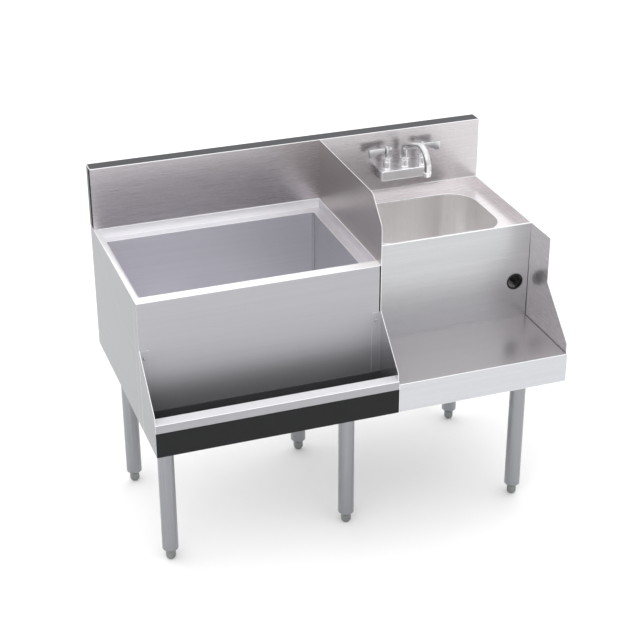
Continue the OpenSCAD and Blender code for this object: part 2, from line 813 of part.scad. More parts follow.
// Black plastic liner in the trough, under the bottles.
module rail_liner() {
    y0 = y_front + 2 * sheet_t;
    y1 = y_bin - 2 * sheet_t;
    z0 = leg_h + sheet_t;
    z_front = lip_low;
    color("black") along_x(x_left + sheet_t, x_divider - sheet_t) polygon([
        [y0, z0], [y1, z0], [y1, z0 + rail_liner_back],
        [y1 - rail_liner_t, z0 + rail_liner_back], [y1 - rail_liner_t, z0 + rail_liner_t],
        [y0 + rail_liner_t, z0 + rail_liner_t], [y0 + rail_liner_t, z_front], [y0, z_front]
    ]);
}

// Black strip over the front of the trough, below the lip.
module rail_front_cover() {
    color("black") block([x_left, y_front, leg_h], [x_divider, y_front + sheet_t, lip_low]);
}

module rail_end_left() {
    color("silver") rail_end(x_left, x_left, x_left + end_flange);
}

module rail_end_right() {
    color("silver") rail_end(x_divider - sheet_t, x_divider - end_flange, x_divider);
}

// End plate of the rail, with its flange against the front of the bin.
module rail_end(x_plate, x0, x1) {
    difference() {
        union() {
            along_x(x_plate, x_plate + sheet_t) polygon([
                [y_bin, leg_h], [y_bin, slope_top_z], [y_front + slope_back, slope_low_z],
                [y_front + slope_back, lip_z], [y_front + sheet_t, lip_z],
                [y_front + sheet_t, leg_h]
            ]);
            block([x0, y_bin - sheet_t, leg_h], [x1, y_bin, slope_top_z - 2 * sheet_t]);
        }
        rail_flange_screws() rail_screw_hole();
    }
}

// Places of the two screws in the flanges, with +Z into the bin.
module rail_flange_screws() {
    for (x = [x_left + rail_screw_in, x_divider - sheet_t - rail_screw_in])
        translate([x, y_bin - sheet_t, rail_screw_z]) rotate([-90, 0, 0]) children();
}

module rail_screw_hole() {
    translate([0, 0, -pass]) cylinder(d = rail_screw_d + 2 * fit, h = 2 * sheet_t + 2 * pass);
}

// Pan-head screws, one in each flange.
module rail_screws() {
    color("gainsboro") rail_flange_screws() {
        translate([0, 0, -rail_screw_head_t])
            cylinder(d = rail_screw_d + 2 * rail_screw_head_w, h = rail_screw_head_t);
        translate([0, 0, -pass]) cylinder(d = rail_screw_d, h = pass + rail_screw_l);
    }
}

// --- legs and feet --------------------------------------------------------

// One leg's own place: column 0 to 2 from the left, row 0 at the front.
module at_leg(column, row, z) {
    translate([leg_x[column], leg_y[column][row], z]) children();
}

module at_each_leg(z) {
    for (column = [0:2], row = [0, 1]) at_leg(column, row, z) children();
}

// The four bolts of every mounting plate, from just below the cabinet.
module leg_plate_bolt_places() {
    offset_xy = leg_plate_w / 2 - leg_bolt_in;
    at_each_leg(leg_h - pass)
        for (x = [-1, 1], y = [-1, 1]) translate([x, y, 0] * offset_xy) children();
}

// Square plates with a spigot that the tubes slide over.
module leg_mount_plates() {
    spigot_d = leg_d - 2 * leg_wall - 2 * fit;
    color("darkgray") difference() {
        at_each_leg(leg_top) {
            translate([-1, -1, 0] * leg_plate_w / 2)
                cube([leg_plate_w, leg_plate_w, leg_plate_t]);
            translate([0, 0, -spigot_h]) cylinder(d = spigot_d, h = spigot_h + pass);
        }
        translate([0, 0, -leg_plate_t]) leg_plate_bolt_places()
            cylinder(d = leg_bolt_d + 2 * fit, h = leg_plate_t + 2 * pass);
    }
}

// Round-headed bolts up through the plates.
module leg_plate_bolts() {
    color("gray") translate([0, 0, pass]) leg_plate_bolt_places() {
        translate([0, 0, -leg_plate_t - leg_bolt_head])
            cylinder(d = leg_bolt_d + 2 * leg_bolt_head_w, h = leg_bolt_head);
        translate([0, 0, -leg_plate_t - pass])
            cylinder(d = leg_bolt_d, h = leg_plate_t + bolt_reach + pass);
    }
}

module leg(column, row) {
    color("darkgray") at_leg(column, row, leg_bottom)
        tube(leg_d, leg_d - 2 * leg_wall, leg_top - leg_bottom);
}

// Threaded plugs in the tubes' lower ends, each with a tapered collar.
module leg_inserts() {
    plug_d = leg_d - 2 * leg_wall - 2 * fit;
    color("gray") at_each_leg(foot_h) difference() {
        union() {
            cylinder(d1 = foot_d / cos(30) + 2 * collar_step, d2 = leg_d, h = insert_collar);
            cylinder(d = plug_d, h = insert_h);
        }
        translate([0, 0, -pass])
            cylinder(d = foot_stem_d + 2 * run, h = insert_h + 2 * pass);
    }
}

// A hexagonal foot on its threaded stem, tapered to the flat end that it stands on.
module foot(column, row) {
    color("gray") at_leg(column, row, 0) union() {
        rotate(foot_turn[column]) intersection() {
            cylinder(d = foot_d / cos(30), h = foot_h, $fn = 6);
            cylinder(d1 = foot_flat_d, d2 = foot_flat_d + 2 * foot_spread, h = foot_h);
        }
        cylinder(d = foot_stem_d, h = foot_h + foot_stem_h);
    }
}

// --- faucet ---------------------------------------------------------------

// The axis of the left valve (-1), the spout (0) or the right valve (1).
module at_valve(side, z) {
    translate([faucet_mid[0] + side * valve_spacing / 2, faucet_mid[1], z]) children();
}

// Cast body with a round lower edge, two valve seats, the spout's socket and waterways.
module faucet_body() {
    y0 = y_face - faucet_d;
    low = faucet_mid[2] - faucet_h;
    edge = 14;
    corner = 7;
    color("lightsteelblue") difference() {
        intersection() {
            union() {
                block([faucet_mid[0] - faucet_w / 2, y0, low + edge],
                      [faucet_mid[0] + faucet_w / 2, y_face, faucet_mid[2]]);
                block([faucet_mid[0] - faucet_w / 2, y0 + edge, low],
                      [faucet_mid[0] + faucet_w / 2, y_face, faucet_mid[2]]);
                translate([faucet_mid[0], y0 + edge, low + edge])
                    rotate([0, 90, 0]) cylinder(r = edge, h = faucet_w, center = true);
            }
            translate([faucet_mid[0], y_face - faucet_d / 2 + corner, low - pass])
                linear_extrude(faucet_h + 2 * pass)
                    round_rect([faucet_w, faucet_d + 2 * corner], corner);
        }
        for (side = [-1, 1]) {
            at_valve(side, faucet_mid[2] - bonnet_seat_h - valve_room)
                cylinder(d = bonnet_seat_d + 2 * fit, h = faucet_h);
            translate([faucet_mid[0] + side * valve_spacing / 2, faucet_mid[1], shank_level])
                rotate([-90, 0, 0]) cylinder(d = shank_bore, h = faucet_axis + pass);
            translate([faucet_mid[0] + side * valve_spacing / 2, y_face - shank_seat, shank_level])
                rotate([-90, 0, 0])
                    cylinder(d = shank_thread_d + 2 * fit, h = shank_seat + pass);
        }
        at_valve(0, faucet_mid[2] - spout_socket_h)
            cylinder(d = spout_socket_d + 2 * run, h = faucet_h);
        translate([faucet_mid[0], faucet_mid[1], shank_level])
            rotate([0, 90, 0]) cylinder(d = cross_bore, h = valve_spacing, center = true);
    }
}

// Shanks that carry water in through the backsplash, with a thicker threaded part.
module faucet_shanks() {
    color("goldenrod") for (side = [-1, 1])
        translate([faucet_mid[0] + side * valve_spacing / 2, y_face - shank_seat, shank_level])
            rotate([-90, 0, 0]) {
                tube(shank_d, shank_bore, shank_seat + shank_l);
                tube(shank_thread_d, shank_bore, shank_seat + sheet_t + shank_nut_t);
            }
}

module faucet_shank_nuts() {
    color("goldenrod") for (side = [-1, 1])
        translate([faucet_mid[0] + side * valve_spacing / 2, y_face + sheet_t, shank_level])
            rotate([-90, 0, 0]) hex_nut(shank_nut_af, shank_thread_d + 2 * fit, shank_nut_t);
}

// Bonnet that holds a valve: a plain barrel under a wider ring.
module valve_bonnet(side) {
    color("lightsteelblue") at_valve(side, faucet_mid[2]) difference() {
        union() {
            translate([0, 0, -bonnet_seat_h]) cylinder(d = bonnet_seat_d, h = bonnet_seat_h + pass);
            cylinder(d = bonnet_d, h = bonnet_h - bonnet_ring_h);
            translate([0, 0, bonnet_h - bonnet_ring_h])
                cylinder(d1 = bonnet_d, d2 = bonnet_ring_d, h = bonnet_ring_h / 2);
            translate([0, 0, bonnet_h - bonnet_ring_h / 2])
                cylinder(d = bonnet_ring_d, h = bonnet_ring_h / 2);
        }
        translate([0, 0, -bonnet_seat_h - pass]) cylinder(d = stem_d + 2 * run, h = 2 * bonnet_h);
    }
}

// Stem that turns in the bonnet, with the valve's disc at its lower end.
module valve_stem(side) {
    low = faucet_mid[2] - bonnet_seat_h - run - valve_disc_t;
    top = hub_top - hub_cap - fit;
    color("goldenrod") at_valve(side, low) difference() {
        union() {
            cylinder(d = stem_d, h = top - low);
            cylinder(d = valve_disc_d, h = valve_disc_t);
        }
        translate([0, 0, top - low - screw_l])
            cylinder(d = screw_d + 2 * fit, h = screw_l + pass);
    }
}

// A wing handle: a hub on the stem and a flat blade with a straight top, which
// widens downwards to a square tip.
module wing_handle(side) {
    flare = hub_d / 2 + wing_flare;
    waist = (flare + wing_l - wing_flat) / 2;
    color("lightsteelblue") at_valve(side, hub_top - hub_h) difference() {
        union() {
            cylinder(d = hub_d, h = hub_h);
            translate([0, wing_t / 2, hub_h - wing_shy]) rotate([90, 0, 0])
                linear_extrude(wing_t) mirror([side < 0 ? 1 : 0, 0]) polygon([
                    [-wing_tail, 0], [-wing_tail, -wing_neck], [flare, -wing_neck],
                    [waist, -wing_neck - (wing_tip - wing_neck) / 3],
                    [wing_l - wing_flat, -wing_tip], [wing_l - wing_corner, -wing_tip],
                    [wing_l, wing_corner - wing_tip], [wing_l, 0]
                ]);
        }
        translate([0, 0, -pass]) cylinder(d = stem_d + 2 * fit, h = hub_h - hub_cap + pass);
        cylinder(d = screw_d + 2 * fit, h = hub_h + pass);
    }
}

// The screw that holds a handle on its stem.
module handle_screw(side) {
    color("silver") at_valve(side, hub_top) {
        cylinder(d = screw_head_d, h = screw_head_h);
        translate([0, 0, -hub_cap - screw_l / 2])
            cylinder(d = screw_d, h = hub_cap + screw_l / 2 + pass);
    }
}

// Nut that keeps the spout in its socket and lets it turn.
module spout_nut() {
    color("lightsteelblue") at_valve(0, faucet_mid[2]) difference() {
        union() {
            cylinder(d = spout_nut_d - 2 * spout_nut_step, h = spout_nut_h);
            translate([0, 0, spout_nut_h - spout_nut_ring])
                cylinder(d = spout_nut_d, h = spout_nut_ring);
        }
        translate([0, 0, -pass]) cylinder(d = spout_d + 2 * run, h = spout_nut_h + 2 * pass);
    }
}

// The upright plane of the spout: X runs forward from its axis, Y runs up from the floor.
module in_spout_plane() {
    translate([faucet_mid[0], faucet_mid[1], 0]) rotate([90, 0, -90]) children();
}

// The line of the spout at diameter d: riser, elbow, rising run, bend and outlet.
// Bending draws the tube down a little, and the straight lengths lap over the bends.
module spout_line(d, low_end, out_end) {
    bent = d - 2 * bend_lap;
    in_spout_plane() {
        translate([0, low_end, 0])
            rotate([-90, 0, 0]) cylinder(d = d, h = elbow_z + bend_lap - low_end);
        translate([elbow_r, elbow_z, 0]) rotate(180 - elbow_turn)
            rotate_extrude(angle = elbow_turn) translate([elbow_r, 0]) circle(d = bent);
        translate([run_fwd, elbow_z + run_up, 0]) rotate([0, 90, spout_rise])
            translate([0, 0, -bend_lap]) cylinder(d = d, h = run_l + 2 * bend_lap);
        translate([outlet_mid[0], outlet_mid[1], 0])
            rotate_extrude(angle = 90 + spout_rise) translate([outlet_r, 0]) circle(d = bent);
        translate([spout_reach, out_end, 0])
            rotate([-90, 0, 0]) cylinder(d = d, h = outlet_mid[1] + bend_lap - out_end);
    }
}

module spout() {
    color("lightsteelblue") difference() {
        union() {
            spout_line(spout_d, faucet_mid[2] + run, outlet_low);
            at_valve(0, faucet_mid[2] - spout_socket_h + spout_end_gap)
                cylinder(d = spout_socket_d, h = spout_socket_h);
        }
        spout_line(spout_d - 2 * spout_wall, faucet_mid[2] - spout_socket_h, outlet_low - pass);
    }
}

// Aerator screwed on the end of the spout.
module aerator() {
    color("silver") at_valve(0, outlet_low - aerator_h) translate([0, -spout_reach, 0])
        difference() {
            cylinder(d = aerator_d, h = aerator_h);
            translate([0, 0, -pass]) cylinder(d = spout_d - 2 * aerator_lip, h = aerator_h + 2 * pass);
        }
}

// --- the whole unit -------------------------------------------------------

backsplash();
rear_panel();
bin_left_panel();
bin_front_panel();
bin_bottom_panel();
divider_panel();
bin_top_rim();
bin_liner();
bin_insulation();
bin_drain_body();
bin_drain_strainer();
bin_drain_locknut();
sink_deck();
sink_bowl();
sink_drain_body();
sink_drain_gasket();
sink_drain_locknut();
sink_drain_grid();
sink_tailpiece();
sink_front_wall();
cord_grommet();
right_side_panel();
blender_shelf();
leg_channel();
rail_trough();
rail_liner();
rail_front_cover();
rail_end_left();
rail_end_right();
rail_screws();
leg_mount_plates();
leg_plate_bolts();
leg(0, 0);  // leg_front_left
leg(1, 0);  // leg_front_middle
leg(2, 0);  // leg_front_right
leg(0, 1);  // leg_rear_left
leg(1, 1);  // leg_rear_middle
leg(2, 1);  // leg_rear_right
leg_inserts();
foot(0, 0);  // foot_front_left
foot(1, 0);  // foot_front_middle
foot(2, 0);  // foot_front_right
foot(0, 1);  // foot_rear_left
foot(1, 1);  // foot_rear_middle
foot(2, 1);  // foot_rear_right
faucet_body();
faucet_shanks();
faucet_shank_nuts();
valve_bonnet(-1);  // valve_bonnet_left
valve_bonnet(1);  // valve_bonnet_right
valve_stem(-1);  // valve_stem_left
valve_stem(1);  // valve_stem_right
wing_handle(-1);  // wing_handle_left
wing_handle(1);  // wing_handle_right
handle_screw(-1);  // handle_screw_left
handle_screw(1);  // handle_screw_right
spout_nut();
spout();
aerator();
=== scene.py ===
# %% [markdown]
# # A bar sink with an ice bin
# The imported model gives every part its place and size. This script gives the parts
# their looks. Folded sheet gets real bend radii, stainless gets its grain and its
# blurred reflections, castings and turned parts get their true round edges, and a
# camera stands where the photograph was taken from. Every length is in metres, in the
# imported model's own frame: X along the front, Y to the wall, Z up.

# %% Load the frame
import json
import math

import bmesh
import bpy
from mathutils import Matrix, Vector

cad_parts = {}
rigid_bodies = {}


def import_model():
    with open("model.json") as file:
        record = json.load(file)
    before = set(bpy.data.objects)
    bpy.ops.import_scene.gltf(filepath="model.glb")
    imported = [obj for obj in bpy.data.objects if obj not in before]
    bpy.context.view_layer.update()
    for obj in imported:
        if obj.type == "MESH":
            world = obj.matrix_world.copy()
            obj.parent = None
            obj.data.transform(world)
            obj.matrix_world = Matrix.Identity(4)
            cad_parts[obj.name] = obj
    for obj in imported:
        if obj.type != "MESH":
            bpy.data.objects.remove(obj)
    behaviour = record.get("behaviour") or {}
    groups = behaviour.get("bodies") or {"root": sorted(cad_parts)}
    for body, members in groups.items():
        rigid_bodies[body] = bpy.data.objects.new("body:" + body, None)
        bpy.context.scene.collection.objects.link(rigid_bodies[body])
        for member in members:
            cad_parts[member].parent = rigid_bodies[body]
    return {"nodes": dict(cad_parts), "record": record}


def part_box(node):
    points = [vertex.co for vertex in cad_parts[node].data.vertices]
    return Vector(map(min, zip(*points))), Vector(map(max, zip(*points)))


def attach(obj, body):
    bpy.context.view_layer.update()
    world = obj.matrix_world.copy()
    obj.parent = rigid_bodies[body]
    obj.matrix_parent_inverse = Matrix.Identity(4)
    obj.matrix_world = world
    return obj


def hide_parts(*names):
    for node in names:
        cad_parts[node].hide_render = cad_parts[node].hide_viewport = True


for leftover in list(bpy.data.objects):
    bpy.data.objects.remove(leftover)
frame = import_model()
nodes = frame["nodes"]
body_of = {n: b for b, ns in frame["record"]["behaviour"]["bodies"].items() for n in ns}
slot_of = {s["node"]: s["material_slot"] for s in frame["record"]["subparts"]}
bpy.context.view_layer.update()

# %% [markdown]
# ## Colours and nodes
# Colours are written as hex, the way a paint chart gives them, and turned into the
# linear light that shaders work in. One helper adds a node with its settings and its
# links, so each material below reads as a list of what it is made of.

# %% Colour and node helpers
MM = 0.001


def lin(code):
    """A hex colour such as #c8c9cc as linear RGBA."""
    parts = [int(code[i:i + 2], 16) / 255 for i in (1, 3, 5)]
    out = [c / 12.92 if c <= 0.04045 else ((c + 0.055) / 1.055) ** 2.4 for c in parts]
    return (*out, 1.0)


def add(tree, kind, settings=None, **inputs):
    """A new node: attributes from settings, inputs as values or as links."""
    node = tree.nodes.new(kind)
    for name, value in (settings or {}).items():
        setattr(node, name, value)
    for name, value in inputs.items():
        socket = node.inputs[name.replace("_", " ")]
        if isinstance(value, bpy.types.NodeSocket):
            tree.links.new(value, socket)
        else:
            socket.default_value = value
    return node


def new_material(name):
    """A material with its node tree and its Principled shader."""
    material = bpy.data.materials.new(name)
    material.use_nodes = True
    tree = material.node_tree
    return material, tree, tree.nodes["Principled BSDF"]


# %% [markdown]
# ## Patterns with a real size
# Noise is stretched by a mapping whose scale is one over the width of a feature in
# metres, so a pattern's size is written in millimetres. Noise lies mostly between 0.3
# and 0.7, and the helpers below stretch that span over two colours or two values.

# %% Pattern helpers
def noise_at(tree, widths_mm, detail=2.0):
    """Noise whose features have the given real widths along X, Y and Z."""
    place = add(tree, "ShaderNodeTexCoord")
    scaled = add(tree, "ShaderNodeMapping", Vector=place.outputs["Object"],
                 Scale=[1 / (w * MM) for w in widths_mm])
    return add(tree, "ShaderNodeTexNoise", Vector=scaled.outputs["Vector"], Scale=1.0,
               Detail=detail).outputs["Fac"]


def tint(tree, factor, dark, light, low=0.3, high=0.7):
    """The factor as a colour between two hex values."""
    node = add(tree, "ShaderNodeValToRGB", Fac=factor)
    for element, place, code in zip(node.color_ramp.elements, (low, high), (dark, light)):
        element.position = place
        element.color = lin(code)
    return node.outputs["Color"]


def spread(tree, factor, low, high):
    """The factor as a value between low and high."""
    node = add(tree, "ShaderNodeMapRange", Value=factor, From_Min=0.3, From_Max=0.7,
               To_Min=low, To_Max=high)
    return node.outputs["Result"]


def finish_shader(tree, shader, colour, rough, relief, relief_mm, **values):
    """Links colour, roughness and relief, and sets the shader's plain values."""
    tree.links.new(colour, shader.inputs["Base Color"])
    tree.links.new(rough, shader.inputs["Roughness"])
    for name, value in values.items():
        shader.inputs[name.replace("_", " ")].default_value = value
    bump = add(tree, "ShaderNodeBump", Height=relief, Strength=1.0,
               Distance=relief_mm * MM)
    tree.links.new(bump.outputs["Normal"], shader.inputs["Normal"])


# %% [markdown]
# ## Satin stainless steel
# Sheet for bar equipment is 18/8 stainless polished with a fine belt. Its grain is a
# field of long shallow lines about 0.1 mm wide. They are drawn 0.7 mm wide here, which
# is as fine as the picture can hold. The lines blur reflections, so roughness is about
# 0.3. Faint streaks about 7 mm wide and half a metre long run the same way, where the
# belt pressed more or less. A little of the light is scattered by the scratches without
# keeping its direction, which is why the metallic value stays just under 1. A metal
# keeps the default IOR, and its colour is its reflectance.

# %% Satin steel
GRAIN = {"x": (70, 0.7, 0.7), "y": (0.7, 70, 0.7), "z": (0.7, 0.7, 70)}
STREAK = {"x": (500, 7, 7), "y": (7, 500, 7), "z": (7, 7, 500)}
GRAIN_SWING = 0.03


def steel(name, light, dark, rough, grain="x", metal=0.9, relief_mm=0.002):
    """Satin stainless: belt lines along one axis, faint streaks, blurred gloss."""
    material, tree, shader = new_material(name)
    lines = noise_at(tree, GRAIN[grain])
    streaks = noise_at(tree, STREAK[grain], detail=3.0)
    finish_shader(tree, shader, tint(tree, streaks, dark, light),
                  spread(tree, lines, rough - GRAIN_SWING, rough + GRAIN_SWING), lines,
                  relief_mm, Metallic=metal)
    return material


# %% [markdown]
# ## Plated, machined and zinc-coated metal
# Chrome plate and turned brass have no belt lines. What the eye sees is a bright, clean
# gloss that varies a little where the polishing wheel pressed more or less. Galvanised
# sheet shows its spangle: flat zinc crystals about 8 mm across, each with its own grey.

# %% Other metals
SPANGLE = 8 * MM


def plated(name, light, dark, rough, metal=1.0, cloud_mm=25):
    """Smooth plated or machined metal, with faint unevenness in its polish."""
    material, tree, shader = new_material(name)
    clouds = noise_at(tree, (cloud_mm,) * 3)
    finish_shader(tree, shader, tint(tree, clouds, dark, light),
                  spread(tree, clouds, rough * 0.85, rough * 1.15), clouds, 0.01,
                  Metallic=metal)
    return material


def galvanised(name):
    """Zinc-coated sheet with its spangle."""
    material, tree, shader = new_material(name)
    place = add(tree, "ShaderNodeTexCoord")
    cells = add(tree, "ShaderNodeTexVoronoi", Vector=place.outputs["Object"],
                Scale=1 / SPANGLE)
    grey = add(tree, "ShaderNodeSeparateColor", Color=cells.outputs["Color"])
    finish_shader(tree, shader, tint(tree, grey.outputs["Red"], "#9fa2a4", "#c2c4c6", 0, 1),
                  spread(tree, grey.outputs["Green"], 0.35, 0.5), cells.outputs["Distance"],
                  0.01, Metallic=1.0)
    return material


# %% [markdown]
# ## Plastic, rubber and foam
# The rail's cover and liner are extruded polypropylene with a fine pebble, the grommet
# is rubber, and rigid foam has cells about 1.5 mm wide. All of them scatter light from
# within, so metallic is 0 and the IOR is that of the polymer.

# %% Polymers
def polymer(name, light, dark, rough, ior, pebble_mm, relief_mm, shine=0.5):
    """Moulded plastic, rubber or foam with a pebbled skin."""
    material, tree, shader = new_material(name)
    pebbles = noise_at(tree, (pebble_mm,) * 3)
    clouds = noise_at(tree, (60, 60, 60), detail=3.0)
    finish_shader(tree, shader, tint(tree, clouds, dark, light),
                  spread(tree, pebbles, rough - 0.06, rough + 0.06), pebbles, relief_mm,
                  IOR=ior, Specular_IOR_Level=shine)
    return material


# %% [markdown]
# ## The finishes of this unit
# Every sheet is the same steel, but fronts, tops and the drawn bowl are polished to
# different degrees, which their roughness shows. Each finish carries the grey that its
# faces should show under a plain white studio, so that grey is painted light and shade:
# darker greys are painted shade, near-white ones are painted highlight, and a metallic
# value well under 1, as on the rims and edges, adds a painted diffuse white. A steel is
# given by its name, its lighter and its darker grey, its roughness and the axis along
# which its grain runs.

# %% Finishes
MATERIAL = {
    # The grey of each finish below is painted light and shade for its faces; the grain,
    # streaks and roughness are the steel's own.
    "panel_x": steel("satin_sheet_x", "#c1c2c4", "#bcbdbf", 0.30, "x"),
    "panel_y": steel("satin_sheet_y", "#919295", "#8c8d90", 0.34, "y"),
    "side_steel": steel("satin_side", "#d3cfd1", "#cecacc", 0.25, "y", metal=0.78),
    "front_steel": steel("satin_front", "#afafb3", "#acacb0", 0.50, "x", metal=0.8),
    "back_steel": steel("satin_backsplash", "#cac6c8", "#c5c1c3", 0.28, "x",
                        relief_mm=0.0012),
    "shelf_steel": steel("satin_shelf", "#c7c3c6", "#c2bec1", 0.24, "x", metal=0.78),
    "apron_steel": steel("satin_apron", "#c4c5c9", "#bfc0c4", 0.30, "x"),
    "deck_steel": steel("satin_deck", "#eae6e8", "#e6e2e4", 0.26, "x", metal=0.8),
    "lip_steel": steel("satin_lip", "#a3a3a7", "#9e9ea2", 0.32, "x"),
    "liner_steel": steel("satin_liner", "#ecebf0", "#e8e7ec", 0.38, "x", metal=0.88),
    # The liner's side and corner greys are painted shade.
    "liner_side_painted_shade": steel("satin_liner_side", "#cbcacd", "#c7c6c9", 0.38, "y"),
    "liner_corner_painted_shade": steel("painted_shade_on_corner", "#c0bfc4", "#bcbbc0", 0.45, "z"),
    # The rim's and edge's near-white is painted highlight, the ledge's grey is painted light
    # and the riser's grey is painted shade.
    "rim_steel": steel("painted_highlight_on_rim", "#fafafc", "#f6f6f8", 0.44, "x", metal=0.5),
    "ledge_painted_light": steel("satin_ledge", "#e8e6ea", "#e4e2e6", 0.34, "x", metal=0.8),
    "riser_painted_shade": steel("satin_riser", "#cfccd0", "#cac7cb", 0.30, "y"),
    "edge_painted_highlight": steel("painted_highlight_on_edge", "#f2f2f4", "#eeeef0", 0.36, "x", metal=0.7),
    "rail_end_steel": steel("painted_light_on_end", "#dcdcdf", "#d7d7da", 0.24, "y", metal=0.95),
    "divider_steel": steel("satin_divider", "#b9b3b1", "#b4aeac", 0.32, "y"),
    # The near-white bowl is painted light; the dark top of the backsplash is painted shade.
    "bowl_steel": steel("drawn_bowl", "#fcfafa", "#f8f6f6", 0.30, "z", metal=0.84),
    "top_painted_shade": steel("painted_shade_on_top", "#444548", "#404144", 0.42, "x"),
    "leg_steel": steel("brushed_tube", "#97989c", "#909195", 0.30, "z"),
    "foot_metal": plated("satin_nickel", "#8d8f8f", "#848686", 0.34),
    "chrome_plate": plated("bright_chrome", "#d6d6d8", "#d0d0d2", 0.13),
    "cast_chrome": plated("chrome_on_casting", "#f0f0f2", "#ebebed", 0.18, 0.75),
    "drain_steel": plated("machined_stainless", "#c9cacc", "#c2c3c5", 0.25),
    "screw_steel": plated("bright_screw", "#b4b5b8", "#acadb0", 0.26),
    "brass_thread": plated("machined_brass", "#d8b56a", "#cfa95c", 0.25),
    "channel_steel": galvanised("zinc_spangle"),
    "black_trim": polymer("black_trim", "#151618", "#111213", 0.55, 1.49, 0.9, 0.02, 0.25),
    "black_liner": polymer("black_liner", "#464649", "#3f3f42", 0.60, 1.49, 0.9, 0.02, 0.4),
    "grommet_rubber": polymer("black_rubber", "#101012", "#0c0c0e", 0.5, 1.52, 1.2, 0.01),
    "undercoat": polymer("sound_coat", "#141416", "#0e0e10", 0.9, 1.5, 3.0, 0.3, 0.1),
    "gasket_rubber": polymer("grey_rubber", "#4a4a4c", "#434345", 0.75, 1.52, 1.2, 0.02),
    "foam": polymer("rigid_foam", "#e0cf9d", "#d6c48f", 0.85, 1.45, 1.5, 0.25),
}
print("finishes:", len(MATERIAL))

# %% [markdown]
# ## A finish for every node
# A polisher works each sheet along its length: fronts, tops and the backsplash along
# the front, side panels from front to back, tubes along themselves. A node takes the
# finish of its material slot, unless it is listed here.

# %% Finish for every node
OWN_FINISH = {
    "bin_left_panel": "panel_y", "rail_end_left": "panel_y", "rail_end_right": "panel_y",
    "right_side_panel": "side_steel", "bin_front_panel": "front_steel",
    "backsplash": "back_steel", "blender_shelf": "shelf_steel", "sink_deck": "deck_steel",
    "rail_liner": "black_liner"}


def material_for(name):
    slot = slot_of[name]
    return MATERIAL[OWN_FINISH.get(name, "panel_x" if slot == "panel_steel" else slot)]


def dress(obj, material):
    """Every slot of the object gets the material."""
    if not obj.material_slots:
        obj.data.materials.append(material)
    for slot in obj.material_slots:
        slot.material = material


for name, obj in nodes.items():
    dress(obj, material_for(name))
print("dressed nodes:", len(nodes))

# %% [markdown]
# ## Making a piece
# A piece is an object made here, in mesh code. It rides on the body of the node it
# belongs to, takes that node's finish, and may stand for the node. Its flat faces keep
# flat shading through weighted normals, while its round edges stay smooth.

# %% Piece helpers
SAME_POINT = 1e-6
BROAD_FACE_WEIGHT = 90


def keep_flats(obj):
    """Weighted normals: broad faces stay flat beside round edges."""
    crisp = obj.modifiers.new("flat_faces", "WEIGHTED_NORMAL")
    crisp.keep_sharp = True
    crisp.weight = BROAD_FACE_WEIGHT


def piece_from(bm, name, material):
    """An object made from the mesh, with its material."""
    mesh = bpy.data.meshes.new(name)
    bm.to_mesh(mesh)
    bm.free()
    mesh.shade_smooth()
    obj = bpy.data.objects.new(name, mesh)
    bpy.context.scene.collection.objects.link(obj)
    dress(obj, material)
    return obj


def settle(bm, name, node, material=None, stands_for=()):
    """Makes the piece, and lets it ride with a node and stand for others."""
    bmesh.ops.remove_doubles(bm, verts=bm.verts, dist=SAME_POINT)
    bmesh.ops.recalc_face_normals(bm, faces=bm.faces)
    piece = piece_from(bm, name, material or material_for(node))
    keep_flats(piece)
    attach(piece, body_of[node])
    if stands_for:
        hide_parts(*stands_for)
    return piece


# %% [markdown]
# ## Bend radii
# A sheet folded on a press brake has a round outside and a smaller round inside. The
# imported model has sharp folds, so each visible sheet is copied, its flat facets are
# merged, and its edges are told apart. Where both neighbouring faces are broad, the
# edge is a fold and gets a bend radius. Where one of them is no wider than the sheet,
# the edge is the sheet's own rim and is only broken by a deburring tool. The new
# rounded faces and the rims get a bright finish, a painted highlight along every edge.
# The ice bin's liner gets a duller, darker finish on them instead, painted shade that
# hides the highlight of its round corners, and the upright corners of the backsplash
# are welded and stay sharp.

# %% Edge rounding
FOLD_OUT = 1.4 * MM
FOLD_IN = 0.4 * MM
RIM_BREAK = 0.30 * MM
THIN = 4.5 * MM  # a narrower face makes its edges rims, not folds
RIM_WIDTH = 2 * MM  # a narrower face gets the finish of the edges
TALL = 0.1  # an upright corner of the backsplash rises more
SAME_PLANE = math.radians(0.4)
SHARP = math.radians(50)
DULL_SLOTS = ("black_trim", "channel_steel")


def width_from(face, edge):
    """How far in metres the face runs inward from the middle of one of its edges."""
    a, b = (v.co for v in edge.verts)
    mid = (a + b) / 2
    along = (b - a).normalized()
    inward = face.normal.cross(along)
    best = 1.0
    for loop in face.loops:
        if loop.edge is edge:
            continue
        p, q = (v.co - mid for v in loop.edge.verts)
        p0, q0 = p.dot(along), q.dot(along)
        if min(p0, q0) > 0 or max(p0, q0) < 0 or abs(q0 - p0) < 1e-9:
            continue
        depth = abs(p.lerp(q, -p0 / (q0 - p0)).dot(inward))
        if depth > SAME_POINT:
            best = min(best, depth)
    return best


def flat_copy(name):
    """A copy of the node's mesh with its coplanar facets merged."""
    bm = bmesh.new()
    bm.from_mesh(nodes[name].data)
    bmesh.ops.remove_doubles(bm, verts=bm.verts, dist=SAME_POINT)
    bmesh.ops.dissolve_limit(bm, angle_limit=SAME_PLANE, verts=bm.verts, edges=bm.edges)
    bm.normal_update()
    return bm


# %% [markdown]
# The kind of each edge is kept as a bevel weight, so one bevel modifier gives every
# edge its own radius and the mesh below it stays light. A face's material index is 0 for
# the sheet's own finish and 1 for the finish of its edges.

